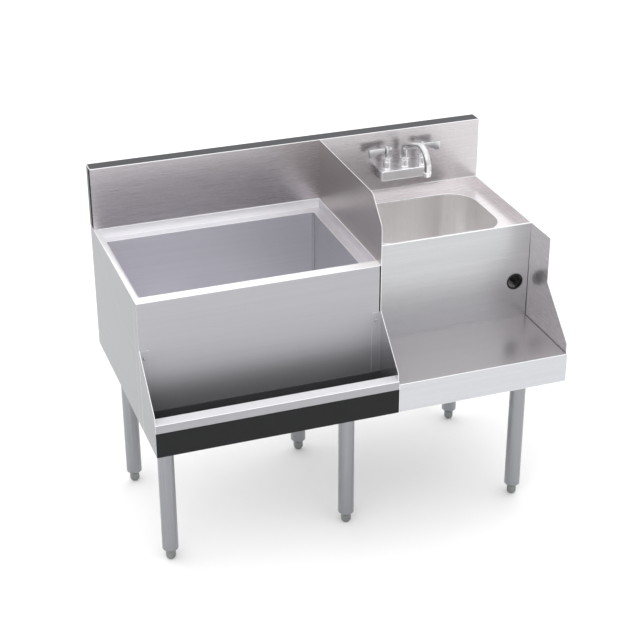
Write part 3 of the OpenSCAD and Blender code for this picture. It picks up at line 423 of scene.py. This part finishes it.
# %% Folded sheets
def folded(name):
    """The node's sheet with round folds and broken rims, in the node's place."""
    bm = flat_copy(name)
    weight = bm.edges.layers.float.new("bevel_weight_edge")
    radii = {"rim": RIM_BREAK, "outer fold": FOLD_OUT, "inner fold": FOLD_IN}
    count = dict.fromkeys(radii, 0)
    for edge in bm.edges:
        rise = abs(edge.verts[0].co.z - edge.verts[1].co.z)
        if len(edge.link_faces) != 2 or edge.calc_face_angle(0) < SHARP:
            continue
        if name == "backsplash" and rise > TALL:
            continue
        kind = "rim"
        if min(width_from(face, edge) for face in edge.link_faces) > THIN:
            kind = "outer fold" if edge.calc_face_angle_signed() > 0 else "inner fold"
        edge[weight] = radii[kind] / FOLD_OUT
        count[kind] += 1
    bright = slot_of[name] not in DULL_SLOTS
    thin = []
    for face in bm.faces:
        longest = max(face.edges, key=lambda e: e.calc_length())
        thin.append(bright and width_from(face, longest) < RIM_WIDTH)
    piece = piece_from(bm, name + "_sheet", material_for(name))
    # The edge finish is a painted highlight; on the ice bin's liner it is painted shade.
    edge_finish = "liner_corner_painted_shade" if name == "bin_liner" else "edge_painted_highlight"
    piece.data.materials.append(MATERIAL[edge_finish])
    for face, is_thin in zip(piece.data.polygons, thin):
        face.material_index = int(is_thin)
    bevel = piece.modifiers.new("rounds", "BEVEL")
    bevel.width = FOLD_OUT
    bevel.segments = 4
    bevel.limit_method = "WEIGHT"
    bevel.miter_outer = "MITER_ARC"
    if bright:
        bevel.material = 1
    keep_flats(piece)
    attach(piece, body_of[name])
    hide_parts(name)
    print(name, "edges:", count)
    return piece


sheets = {n: folded(n) for n in (
    "backsplash", "bin_front_panel", "bin_left_panel", "bin_top_rim", "sink_deck",
    "sink_front_wall", "blender_shelf", "rail_trough", "rail_end_left",
    "rail_end_right", "right_side_panel", "divider_panel", "rail_front_cover",
    "rail_liner", "rear_panel", "bin_bottom_panel", "leg_channel", "bin_liner")}

# %% [markdown]
# ## Faces with painted light and shade
# Each face of a folded sheet mirrors another part of the studio. Single faces, picked by
# the direction they face, change their finish, and each such finish carries a painted
# grey for that direction. The backsplash's top and ends are painted dark, as painted
# shade. The ledge for covers and the top of the rail's lip are painted bright, as painted
# light. The riser beside the ledge and the right wall of the liner are painted greyer, as
# painted shade. The outside of the side panel and the bin's left return take the darker
# grey of the bin's side, which is painted shade. The flanges of the rail's ends and the
# shelf's apron have painted greys of their own.

# %% Refinished faces
def refinish(name, key, direction, below=9.0, within=0.9):
    """Broad faces that look along the direction, up to a height, change finish."""
    mesh = sheets[name].data
    mesh.materials.append(MATERIAL[key])
    changed = 0
    for face in mesh.polygons:
        if (face.material_index == 0 and face.normal.dot(Vector(direction)) > within
                and face.center.z < below):
            face.material_index = len(mesh.materials) - 1
            changed += 1
    print(f"{name}: {changed} faces get {key}")


UP, LEFT, RIGHT, FRONT = (0, 0, 1), (-1, 0, 0), (1, 0, 0), (0, -1, 0)
BELOW_RIM = 0.735
# Each call below gives faces a painted grey for the way they face: dark ones are painted
# shade, bright ones painted light.
for way in (UP, LEFT, RIGHT):
    refinish("backsplash", "top_painted_shade", way)
refinish("bin_top_rim", "ledge_painted_light", UP, below=BELOW_RIM)
refinish("bin_top_rim", "riser_painted_shade", LEFT)
refinish("bin_liner", "liner_side_painted_shade", LEFT, within=0.4)
refinish("bin_front_panel", "panel_y", LEFT)
refinish("right_side_panel", "panel_y", RIGHT)
for end in ("rail_end_left", "rail_end_right"):
    refinish(end, "front_steel", FRONT)
refinish("rail_end_right", "rail_end_steel", LEFT)
refinish("rail_trough", "rim_steel", UP)
refinish("rail_trough", "lip_steel", FRONT)
refinish("blender_shelf", "apron_steel", FRONT)

# %% [markdown]
# ## Polished welds and rolled edges
# Where the ledge and the deck meet the splash panels, and round both openings, the real
# unit has a polished weld or a rolled edge that catches the light as a thin bright line.
# The beads also take the near-white edge finish, which is a painted highlight.
# Each is a small round bead swept along a path. The path's corners are mitred.

# %% Rings and beads
def band(bm, low, high):
    """Faces between two closed rings with as many points each."""
    for k in range(len(low)):
        n = (k + 1) % len(low)
        bm.faces.new((low[k], low[n], high[n], high[k]))


def stack(bm, outlines):
    """A solid through a stack of outlines with as many points each."""
    rings = [[bm.verts.new(p) for p in outline] for outline in outlines]
    for low, high in zip(rings, rings[1:]):
        band(bm, low, high)
    bm.faces.new(rings[0])
    bm.faces.new(rings[-1])


def quarter(cx, cy, radius, start, steps):
    """Points of a level quarter circle, from the start angle in degrees on."""
    angles = [math.radians(start + 90 * i / steps) for i in range(steps + 1)]
    return [(cx + radius * math.cos(a), cy + radius * math.sin(a)) for a in angles]


def bead(bm, points, radius, closed=False, sides=10):
    """A round bar of the given radius along a path of points."""
    count = len(points)
    rings = []
    for i, point in enumerate(points):
        before = points[i - 1] if closed or i else point
        after = points[(i + 1) % count] if closed or i < count - 1 else point
        into = (point - before).normalized() if point != before else None
        out = (after - point).normalized() if point != after else None
        along = ((into or out) + (out or into)).normalized()
        side = along.cross(Vector((0, 0, 1))).normalized()
        up = side.cross(along)
        widen = 1 / max(0.5, along.dot(out or into))
        rings.append([bm.verts.new(point + (side * math.cos(a) * widen + up * math.sin(a))
                                   * radius)
                      for a in (2 * math.pi * k / sides for k in range(sides))])
    for low, high in zip(rings, rings[1:]):
        band(bm, low, high)
    if closed:
        band(bm, rings[-1], rings[0])
    else:
        bm.faces.new(rings[0])
        bm.faces.new(rings[-1])


def round_outline(x0, x1, y0, y1, z, radius, steps=12):
    """Points of a level rectangle with round corners."""
    corners = ((x1 - radius, y0 + radius, -90), (x1 - radius, y1 - radius, 0),
               (x0 + radius, y1 - radius, 90), (x0 + radius, y0 + radius, 180))
    return [Vector((x, y, z)) for cx, cy, start in corners
            for x, y in quarter(cx, cy, radius, start, steps)]


# %% [markdown]
# The rim's weld follows its top edge along the backsplash and the divider. It starts
# clear of the rim's left end and ends behind its front. A second bead rounds the edge of
# the liner's mouth.

# %% Ledge welds
rim_lo, rim_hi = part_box("bin_top_rim")
bin_lo, bin_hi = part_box("bin_liner")
LEDGE_Z = bin_hi[2]
WELD, MOUTH_BEAD = 1.1 * MM, 1.2 * MM
RIM_LEFT, RIM_FRONT = 0.011, 0.035
IN_CORNER, IN_MOUTH, MOUTH_R = 0.0012, 0.0008, 0.006
bm = bmesh.new()
x0, x1, y1, z = rim_lo[0] + RIM_LEFT, rim_hi[0] - IN_CORNER, rim_hi[1] - IN_CORNER, rim_hi[2]
bead(bm, [Vector((x0, y1, z)), Vector((x1, y1, z)), Vector((x1, rim_lo[1] + RIM_FRONT, z))],
     WELD)
bead(bm, round_outline(bin_lo[0] + IN_MOUTH, bin_hi[0] - IN_MOUTH, bin_lo[1] + IN_MOUTH,
                       bin_hi[1] - IN_MOUTH, LEDGE_Z, MOUTH_R, 4), MOUTH_BEAD, closed=True)
# The weld and the mouth's bead take the edge finish, a painted highlight.
settle(bm, "ledge_welds", "bin_top_rim", MATERIAL["edge_painted_highlight"])
print("ledge at", round(LEDGE_Z, 4), "rim box", rim_lo, rim_hi)

# %% [markdown]
# The bowl is drawn, so its mouth rolls over into the deck on a small radius. The top of
# the wall in front of the deck is folded back on itself, and its hem is a round bar.

# %% Bowl's rolled mouth, the deck's welds and the wall's hem
deck_lo, deck_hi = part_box("sink_deck")
wall_lo, wall_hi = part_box("sink_front_wall")
BOWL = (0.127, 0.483, -0.035, 0.227)
BOWL_R, DECK_Z = 0.076, 0.726
ROLL, ROLL_OUT, ROLL_DOWN = 1.6 * MM, 0.001, 0.0009
HEM, HEM_AXIS = 2.05 * MM, 2 * MM
DECK_LEFT, DECK_CORNER, DECK_FRONT = 0.001, 0.0006, 0.006
bm = bmesh.new()
bead(bm, round_outline(BOWL[0] - ROLL_OUT, BOWL[1] + ROLL_OUT, BOWL[2] - ROLL_OUT,
                       BOWL[3] + ROLL_OUT, DECK_Z - ROLL_DOWN, BOWL_R), ROLL, closed=True)
# The roll, the deck's welds and the hem take the edge finish, a painted highlight.
settle(bm, "bowl_roll", "sink_deck", MATERIAL["edge_painted_highlight"])
bm = bmesh.new()
x0, x1, y0, y1, z = (deck_lo[0] + DECK_LEFT, deck_hi[0] - DECK_CORNER, deck_lo[1] + DECK_FRONT,
                     deck_hi[1] - DECK_CORNER, deck_hi[2])
bead(bm, [Vector((x0, y1, z)), Vector((x1, y1, z)), Vector((x1, y0, z))], WELD)
settle(bm, "deck_welds", "sink_deck", MATERIAL["edge_painted_highlight"])
bm = bmesh.new()
y, z = wall_lo[1] + HEM_AXIS, wall_hi[2] - HEM_AXIS
bead(bm, [Vector((x0, y, z)), Vector((deck_hi[0], y, z))], HEM, sides=16)
settle(bm, "hem_roll", "sink_front_wall", MATERIAL["edge_painted_highlight"])
print("deck box", deck_lo, deck_hi)

# %% [markdown]
# ## Undercoat, seam and sealant
# The outside of a drawn bowl is sprayed with a black coat that deadens its ring. It is
# what the open grommet shows. The coat is the bowl's outer skin, lifted off by a hair,
# with a second skin one coat further out and a strip that joins the two at the mouth.

# %% Undercoat
COAT, HAIR = 1.0 * MM, 0.05 * MM
COAT_TOP, BOWL_MID_Z = 0.715, 0.6
bm = bmesh.new()
bm.from_mesh(nodes["sink_bowl"].data)
bmesh.ops.remove_doubles(bm, verts=bm.verts, dist=SAME_POINT)
bm.normal_update()
middle = Vector(((BOWL[0] + BOWL[1]) / 2, (BOWL[2] + BOWL[3]) / 2, BOWL_MID_Z))
places = {face: face.calc_center_median() for face in bm.faces}
uncoated = [face for face, place in places.items()
            if face.normal.dot(place - middle) < 0 or place.z > COAT_TOP]
bmesh.ops.delete(bm, geom=uncoated, context="FACES")
for vert in bm.verts:
    vert.co += vert.normal * HAIR
coat_faces, mouth = bm.faces[:], [edge for edge in bm.edges if edge.is_boundary]
outer = {vert: bm.verts.new(vert.co + vert.normal * COAT) for vert in bm.verts[:]}
for face in coat_faces:
    bm.faces.new([outer[vert] for vert in face.verts])
for edge in mouth:
    a, b = edge.verts
    bm.faces.new((a, b, outer[b], outer[a]))
coat = settle(bm, "bowl_undercoat", "sink_bowl", MATERIAL["undercoat"])
print("undercoat faces:", len(coat.data.polygons))

# %% [markdown]
# The upright gap between the bin's front panel and the divider holds a near-black strip,
# set back from the faces and hollow along its middle. The strip is painted shadow: it
# stands for the shade inside the gap.

# %% Painted shadow in the seam
STRIP_BACK, STRIP_DEEP, STRIP_HOLLOW, STRIP_END = 1.6 * MM, 0.006, 0.0007, 0.001
front_lo, front_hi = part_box("bin_front_panel")
left, right = front_hi[0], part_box("divider_panel")[0][0]
y, wide = front_lo[1] + STRIP_BACK, right - left
profile = [(left, y + STRIP_DEEP), (left, y), (left + 0.3 * wide, y + STRIP_HOLLOW),
           (left + 0.7 * wide, y + STRIP_HOLLOW), (right, y), (right, y + STRIP_DEEP)]
bm = bmesh.new()
stack(bm, [[Vector((*point, z)) for point in profile]
           for z in (front_lo[2] + STRIP_END, front_hi[2] - STRIP_END)])
settle(bm, "seam_painted_shadow", "bin_front_panel", MATERIAL["grommet_rubber"])
print("seam from", left, "to", right)

# %% [markdown]
# A grey bead in the corner of the sink's front wall and the side panel is painted shadow:
# it stands for the shade in the hairline gap there. It runs down from the hem and then
# forward along the shelf, nearly to its front.

# %% Painted shadow in the front wall's corner
SHADOW_BEAD, SHEET, BEDDED = 1.1 * MM, 1.5 * MM, 0.3 * MM
SHADOW_BEAD_TOP, SHELF_Z, SHADOW_BEAD_END = 0.744, 0.484, 0.004
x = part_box("right_side_panel")[1][0] - SHEET - BEDDED
shelf_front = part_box("blender_shelf")[0][1]
bm = bmesh.new()
bead(bm, [Vector((x, wall_lo[1], SHADOW_BEAD_TOP)), Vector((x, wall_lo[1], SHELF_Z)),
          Vector((x, shelf_front + SHADOW_BEAD_END, SHELF_Z))], SHADOW_BEAD)
settle(bm, "corner_painted_shadow", "sink_front_wall", MATERIAL["gasket_rubber"])
print("sealant at", round(x, 4), "from wall", wall_lo[1], "to shelf front", shelf_front)

# %% [markdown]
# ## Turned parts
# A turned or cast round part is a profile turned round an axis. The profile is drawn
# with sharp corners, in millimetres from the axis, and then softened, so every ring and
# shoulder has the small radius that makes a bright line in the light.

# %% Turning helpers
def soften(corners, cut, steps=4):
    """The profile with its inner corners rounded, starting cut mm along each side."""
    points = [Vector(corners[0])]
    for before, corner, after in zip(corners, corners[1:], corners[2:]):
        before, corner, after = Vector(before), Vector(corner), Vector(after)
        a, b = before - corner, after - corner
        start = corner + a.normalized() * min(cut, 0.45 * a.length)
        end = corner + b.normalized() * min(cut, 0.45 * b.length)
        for i in range(steps + 1):
            t = i / steps
            points.append(start.lerp(corner, t).lerp(corner.lerp(end, t), t))
    return points + [Vector(corners[-1])]


def turn(bm, profile, place, sides=72):
    """Turns a profile of (radius, height) in mm round the place's own Z axis."""
    rings = []
    for radius, height in profile:
        count = sides if radius > 1e-6 else 1
        rings.append([bm.verts.new(place @ Vector((
            radius * MM * math.cos(2 * math.pi * k / sides),
            radius * MM * math.sin(2 * math.pi * k / sides), height * MM)))
            for k in range(count)])
    for low, high in zip(rings, rings[1:]):
        for k in range(sides):
            ring = dict.fromkeys((low[k % len(low)], low[(k + 1) % len(low)],
                                  high[(k + 1) % len(high)], high[k % len(high)]))
            if len(ring) > 2:
                bm.faces.new(list(ring))


def upright(x, y, z):
    """A place at a point, with its Z axis up."""
    return Matrix.Translation((x, y, z))


def middle_of(name):
    """X and Y of the middle of a node's box."""
    low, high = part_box(name)
    return (low[0] + high[0]) / 2, (low[1] + high[1]) / 2


def turned_piece(name, node, profile, place, material=None, sides=72):
    """One turned piece that stands for its node."""
    bm = bmesh.new()
    turn(bm, profile, place, sides)
    settle(bm, name, node, material, stands_for=(node,))


# %% [markdown]
# ## Faucet body
# The body is a chrome-plated brass casting: a block with a rounded lower edge, round
# front corners and a tight bright edge round its top. It is built as a stack of
# outlines. Each outline steps inwards by what the rounding asks at its height. Its back
# stays flat against the backsplash.

# %% Faucet body
TOP_ROUND, LOW_ROUND, CORNER, LEAST_CORNER = 2.2 * MM, 5.0 * MM, 7.0 * MM, 0.6 * MM


def body_outline(x0, x1, y0, y1, z, radius, steps=8):
    """Points of a level rectangle whose two front corners are round."""
    points = [(x0, y1)]
    points += quarter(x0 + radius, y0 + radius, radius, 180, steps)
    points += quarter(x1 - radius, y0 + radius, radius, 270, steps)
    points.append((x1, y1))
    return [Vector((x, y, z)) for x, y in points]


def rounded_levels(z0, z1, low, top, steps=7):
    """Heights and the inset at each, for a rounded bottom and a rounded top."""
    levels = []
    for i in range(steps + 1):
        a = math.radians(90 * i / steps)
        short, inset = 1 - math.sin(a), 1 - math.cos(a)
        levels += [(z0 + low * short, low * inset), (z1 - top * short, top * inset)]
    return sorted(levels)


body_lo, body_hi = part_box("faucet_body")
bm = bmesh.new()
stack(bm, [body_outline(body_lo[0] + d, body_hi[0] - d, body_lo[1] + d, body_hi[1], z,
                        max(CORNER - d, LEAST_CORNER))
           for z, d in rounded_levels(body_lo[2], body_hi[2], LOW_ROUND, TOP_ROUND)])
settle(bm, "faucet_casting", "faucet_body", MATERIAL["cast_chrome"],
       stands_for=("faucet_body",))
print("faucet body:", [round((b - a) / MM, 1) for a, b in zip(body_lo, body_hi)])

# %% [markdown]
# ## Bonnets, spout nut and aerator
# Each bonnet stands on a low foot ring and widens to a ring at its top. The spout's nut
# has the same parts. The aerator is a short sleeve with a collar round its top, and its
# outlet lies a little inside its mouth. Every profile is a list of (radius, height).

# %% Bonnets, nut and aerator
BONNET = soften([(5, 0), (12.2, 0), (12.2, 2.2), (10.6, 3.4), (10.6, 18), (11.2, 18.8),
                 (11.2, 21), (10.4, 21.8), (12.7, 27.5), (12.7, 31), (4.3, 31), (4.3, 26)],
                0.8)
NUT = soften([(9, 0), (12.4, 0), (12.4, 2.4), (10.9, 3.8), (10.9, 19.5), (13, 23.6),
              (13, 27.5), (8.4, 27.5), (8.4, 22)], 0.9)
TIP = soften([(0, 2.2), (7.6, 2.2), (7.6, 0), (9.9, 0), (10.2, 7.4), (11, 8.2), (11, 11.2),
              (9.6, 12), (8, 12)], 0.5)
for name, profile, z in (("valve_bonnet_left", BONNET, body_hi[2]),
                         ("valve_bonnet_right", BONNET, body_hi[2]),
                         ("spout_nut", NUT, body_hi[2]),
                         ("aerator", TIP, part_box("aerator")[0][2])):
    turned_piece(name + "_turned", name, profile, upright(*middle_of(name), z),
                 MATERIAL["cast_chrome"])
    print(name, "turned from", round(z, 4))

# %% [markdown]
# ## Wing handles
# A wing handle is one casting: a hub with a flat blade. The blade's top is straight,
# and its lower edge widens to a square tip. All its edges are rounded by 1.2 mm, and a
# small round screw with a dimple closes the hub.

# %% Wing handles and their screws
BLADE = [(-14, 0), (-14, -10), (12.5, -10), (26.75, -14.7), (41, -24), (48, -24),
         (51, -21), (51, 0)]
BLADE_T, BLADE_EDGE, BLADE_DOWN = 6, 1.2, 1.5 * MM
HUB_H = 16.5
HUB = soften([(0, 0), (6.5, 0), (6.5, HUB_H), (0, HUB_H)], 1.0)
SCREW = soften([(0, 1.5), (1.5, 1.5), (1.7, 2.3), (3.0, 2.4), (4.2, 1.7), (4.5, 0.7),
                (4.5, 0), (0, 0)], 0.25)


def blade(bm, points, place, thick, cut):
    """A flat plate of the outline, upright, with all its edges rounded."""
    faces = [[bm.verts.new(place @ (Vector((x, y, z)) * MM)) for x, z in points]
             for y in (-thick / 2, thick / 2)]
    made = [bm.faces.new(faces[0]), bm.faces.new(faces[1])]
    for i in range(len(points)):
        n = (i + 1) % len(points)
        made.append(bm.faces.new((faces[0][i], faces[0][n], faces[1][n], faces[1][i])))
    edges = {e for f in made for e in f.edges}
    bmesh.ops.bevel(bm, geom=list(edges), offset=cut * MM, segments=4, profile=0.5,
                    affect="EDGES")


for side, flip in (("left", -1), ("right", 1)):
    name, screw = "wing_handle_" + side, "handle_screw_" + side
    stem = middle_of("valve_stem_" + side)
    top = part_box(name)[1][2]
    bm = bmesh.new()
    turn(bm, HUB, upright(*stem, top - HUB_H * MM))
    blade(bm, [(flip * x, z) for x, z in BLADE], upright(*stem, top - BLADE_DOWN),
          BLADE_T, BLADE_EDGE)
    settle(bm, name + "_cast", name, stands_for=(name,))
    turned_piece(screw + "_head", screw, SCREW, upright(*stem, top), sides=32)
    print(name, "on the stem at", [round(v, 4) for v in stem], "top", round(top, 4))

# %% [markdown]
# ## Grommet and rail screws
# The grommet is a moulded ring: a soft round flange on each side of the wall and a neck
# through it. The rail's end plates hang on pan-head screws, one in each flange.

# %% Grommet and rail screws
TO_FRONT = Matrix.Rotation(math.radians(90), 4, "X")
RING = soften([(18, 1.2), (18, -3.5), (22.7, -3.5), (22.7, -1.5), (19.7, -1.5), (19.7, 0),
               (22.75, 0), (22.6, 1.2), (21, 2), (18.8, 2), (18, 1.2)], 0.7)
hole_lo, hole_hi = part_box("cord_grommet")
hole = ((hole_lo[0] + hole_hi[0]) / 2, wall_lo[1], (hole_lo[2] + hole_hi[2]) / 2)
turned_piece("grommet_ring", "cord_grommet", RING, Matrix.Translation(hole) @ TO_FRONT)

HEAD_R, HEAD_H = 4.3, 2.4
HEAD = soften([(0, 1.4), (1.1, 1.4), (1.3, 2.1), (2.4, 2.2), (3.8, 1.5), (HEAD_R, 0.5),
               (HEAD_R, -0.2)], 0.3)
screw_lo, screw_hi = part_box("rail_screws")
y, z = screw_lo[1] + HEAD_H * MM, (screw_lo[2] + screw_hi[2]) / 2
bm = bmesh.new()
for x in (screw_lo[0] + HEAD_R * MM, screw_hi[0] - HEAD_R * MM):
    turn(bm, HEAD, Matrix.Translation((x, y, z)) @ TO_FRONT, 32)
settle(bm, "rail_screw_heads", "rail_screws", stands_for=("rail_screws",))
print("cord hole at", [round(v, 4) for v in hole])

# %% [markdown]
# ## Leg collars and feet
# Each tube ends in a threaded plug whose collar tapers to the foot.

# %% Leg collars
COLLAR_H = 8
LEGS = [(row, column) for row in ("front", "rear") for column in ("left", "middle", "right")]
COLLAR = soften([(6.4, 0), (14.6, 0), (14.9, 1), (20.2, 7.2), (20.65, 7.7),
                 (20.65, COLLAR_H), (19, COLLAR_H)], 0.5)
bm = bmesh.new()
for row, column in LEGS:
    leg = "_".join(("leg", row, column))
    turn(bm, COLLAR, upright(*middle_of(leg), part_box(leg)[0][2] - COLLAR_H * MM))
settle(bm, "leg_collars", "leg_inserts", stands_for=("leg_inserts",))

# %% [markdown]
# The foot is a hexagon turned to a cone at its lower end, so each of its flats ends in a
# curve. At every angle its radius is the smaller of the hexagon's and the cone's, and it
# narrows a little at its upper shoulder. Each foot stands turned by its own angle. A long
# stem goes up from it into the plug, and shows when the foot is screwed out.

# %% Feet
TURNED = {"left": 30, "middle": 25, "right": 0}
FLATS, SOFT_CORNER = 12.0, math.radians(29)
CONE_R, CONE_RISE, TIP_CUT = 8, 0.72, 0.3
SHOULDER_H, SHOULDER_RISE = 23.4, 0.6
LEVELS = (0, 0, 0.4, 1, 2, 3, 4, 5, 6, 7, 8, 9, SHOULDER_H, 24.4, 25, 25)
STEM = soften([(0, 24), (6, 24), (6, 80), (0, 80)], 0.8)


def foot_ring(level, turned):
    """The foot's outline in mm at one level. The first and last lie in its axis."""
    height = LEVELS[level]
    cone = CONE_R + CONE_RISE * height - (TIP_CUT if level == 1 else 0)
    if level in (0, len(LEVELS) - 1):
        cone = 0
    shoulder = max(0.0, height - SHOULDER_H) * SHOULDER_RISE
    ring = []
    for angle in range(0, 360, 5):
        off = math.radians((angle - turned) % 60 - 30)
        hexagon = min(FLATS / math.cos(off), FLATS / math.cos(SOFT_CORNER))
        r, a = min(cone, hexagon - shoulder), math.radians(angle)
        ring.append(Vector((r * math.cos(a), r * math.sin(a), height)))
    return ring


for row, column in LEGS:
    foot = "_".join(("foot", row, column))
    place = upright(*middle_of(foot), 0)
    bm = bmesh.new()
    rings = [[bm.verts.new(place @ (point * MM)) for point in foot_ring(i, TURNED[column])]
             for i in range(len(LEVELS))]
    for low, high in zip(rings, rings[1:]):
        band(bm, low, high)
    bmesh.ops.dissolve_degenerate(bm, edges=bm.edges, dist=1e-7)
    turn(bm, STEM, place, 48)
    settle(bm, foot + "_hexagon", foot, stands_for=(foot,))
print("feet:", len(LEGS))

# %% [markdown]
# ## Camera
# The photograph was taken from the front left and above with a long lens. The camera
# stands at that angle and distance. Its lens is for a 36 mm wide sensor.

# %% Camera
EYE = Vector((-1.2153, -3.3215, 2.3653))
AZIMUTH, ELEVATION, ROLL = (math.radians(a) for a in (-19.81, 27.47, -0.10))
LENS_MM, SENSOR_MM = 87.35, 36.0
camera = bpy.data.objects.new("camera", bpy.data.cameras.new("camera"))
camera.data.lens = LENS_MM
camera.data.sensor_width = SENSOR_MM
look = Vector((-math.sin(AZIMUTH) * math.cos(ELEVATION),
               math.cos(AZIMUTH) * math.cos(ELEVATION), -math.sin(ELEVATION)))
facing = look.to_track_quat("-Z", "Y").to_matrix().to_4x4()
camera.matrix_world = Matrix.Translation(EYE) @ facing @ Matrix.Rotation(ROLL, 4, "Z")
bpy.context.scene.collection.objects.link(camera)
bpy.context.scene.camera = camera
print("camera looks along", [round(v, 4) for v in look])

# %% [markdown]
# ## Light and floor
# Satin steel shows what stands round it, so the studio matters as much as the finish.
# The sky is white at the horizon and half as bright again overhead, which models the
# tops and the fronts. One soft lamp adds form from the front left.

# %% Studio
OVERHEAD = 1.5
LAMP_SIDE, LAMP_POWER = 1.6, 12
LAMP_AT, LAMP_WAY = (-1.6, -2.2, 3.2), Vector((1.6, 2.2, -2.6))
world = bpy.data.worlds.new("studio")
world.use_nodes = True
bpy.context.scene.world = world
tree = world.node_tree
tree.nodes.clear()
where = add(tree, "ShaderNodeTexCoord")
split = add(tree, "ShaderNodeSeparateXYZ", Vector=where.outputs["Generated"])
level = add(tree, "ShaderNodeMapRange", Value=split.outputs["Z"], From_Min=0.0,
            From_Max=1.0, To_Min=1.0, To_Max=OVERHEAD)
sky = add(tree, "ShaderNodeBackground", Color=lin("#ffffff"), Strength=level.outputs["Result"])
add(tree, "ShaderNodeOutputWorld", Surface=sky.outputs["Background"])

lamp = bpy.data.lights.new("softbox", "AREA")
lamp.shape = "RECTANGLE"
lamp.size, lamp.size_y = LAMP_SIDE, LAMP_SIDE
lamp.energy = LAMP_POWER
softbox = bpy.data.objects.new("softbox", lamp)
softbox.matrix_world = (Matrix.Translation(LAMP_AT)
                        @ LAMP_WAY.to_track_quat("-Z", "Y").to_matrix().to_4x4())
bpy.context.scene.collection.objects.link(softbox)
bpy.context.scene.view_settings.view_transform = "Standard"
print("sky up to", OVERHEAD, "lamp at", LAMP_AT)

# %% [markdown]
# The floor is pale paper, a hair under the feet. Its own colour makes the white
# background, and it keeps the unit's soft shadow.

# %% Floor
FLOOR_HALF, FLOOR_DOWN, PAPER_MM = 8.0, 0.0005, 600
paper, tree, shader = new_material("pale_paper")
fibres = noise_at(tree, (PAPER_MM,) * 3)
finish_shader(tree, shader, tint(tree, fibres, "#fafafa", "#fcfcfc", 0, 1),
              spread(tree, fibres, 0.8, 0.9), fibres, 0.0, Specular_IOR_Level=0.0)
bm = bmesh.new()
bmesh.ops.create_grid(bm, x_segments=1, y_segments=1, size=FLOOR_HALF)
floor = piece_from(bm, "floor", paper)
floor.location.z = -FLOOR_DOWN
print("floor:", 2 * FLOOR_HALF, "m wide")

# %% [markdown]
# ## Last update
# The view layer is updated once more. The dressed part stays inside the imported model's box.

# %% Finish
bpy.context.view_layer.update()
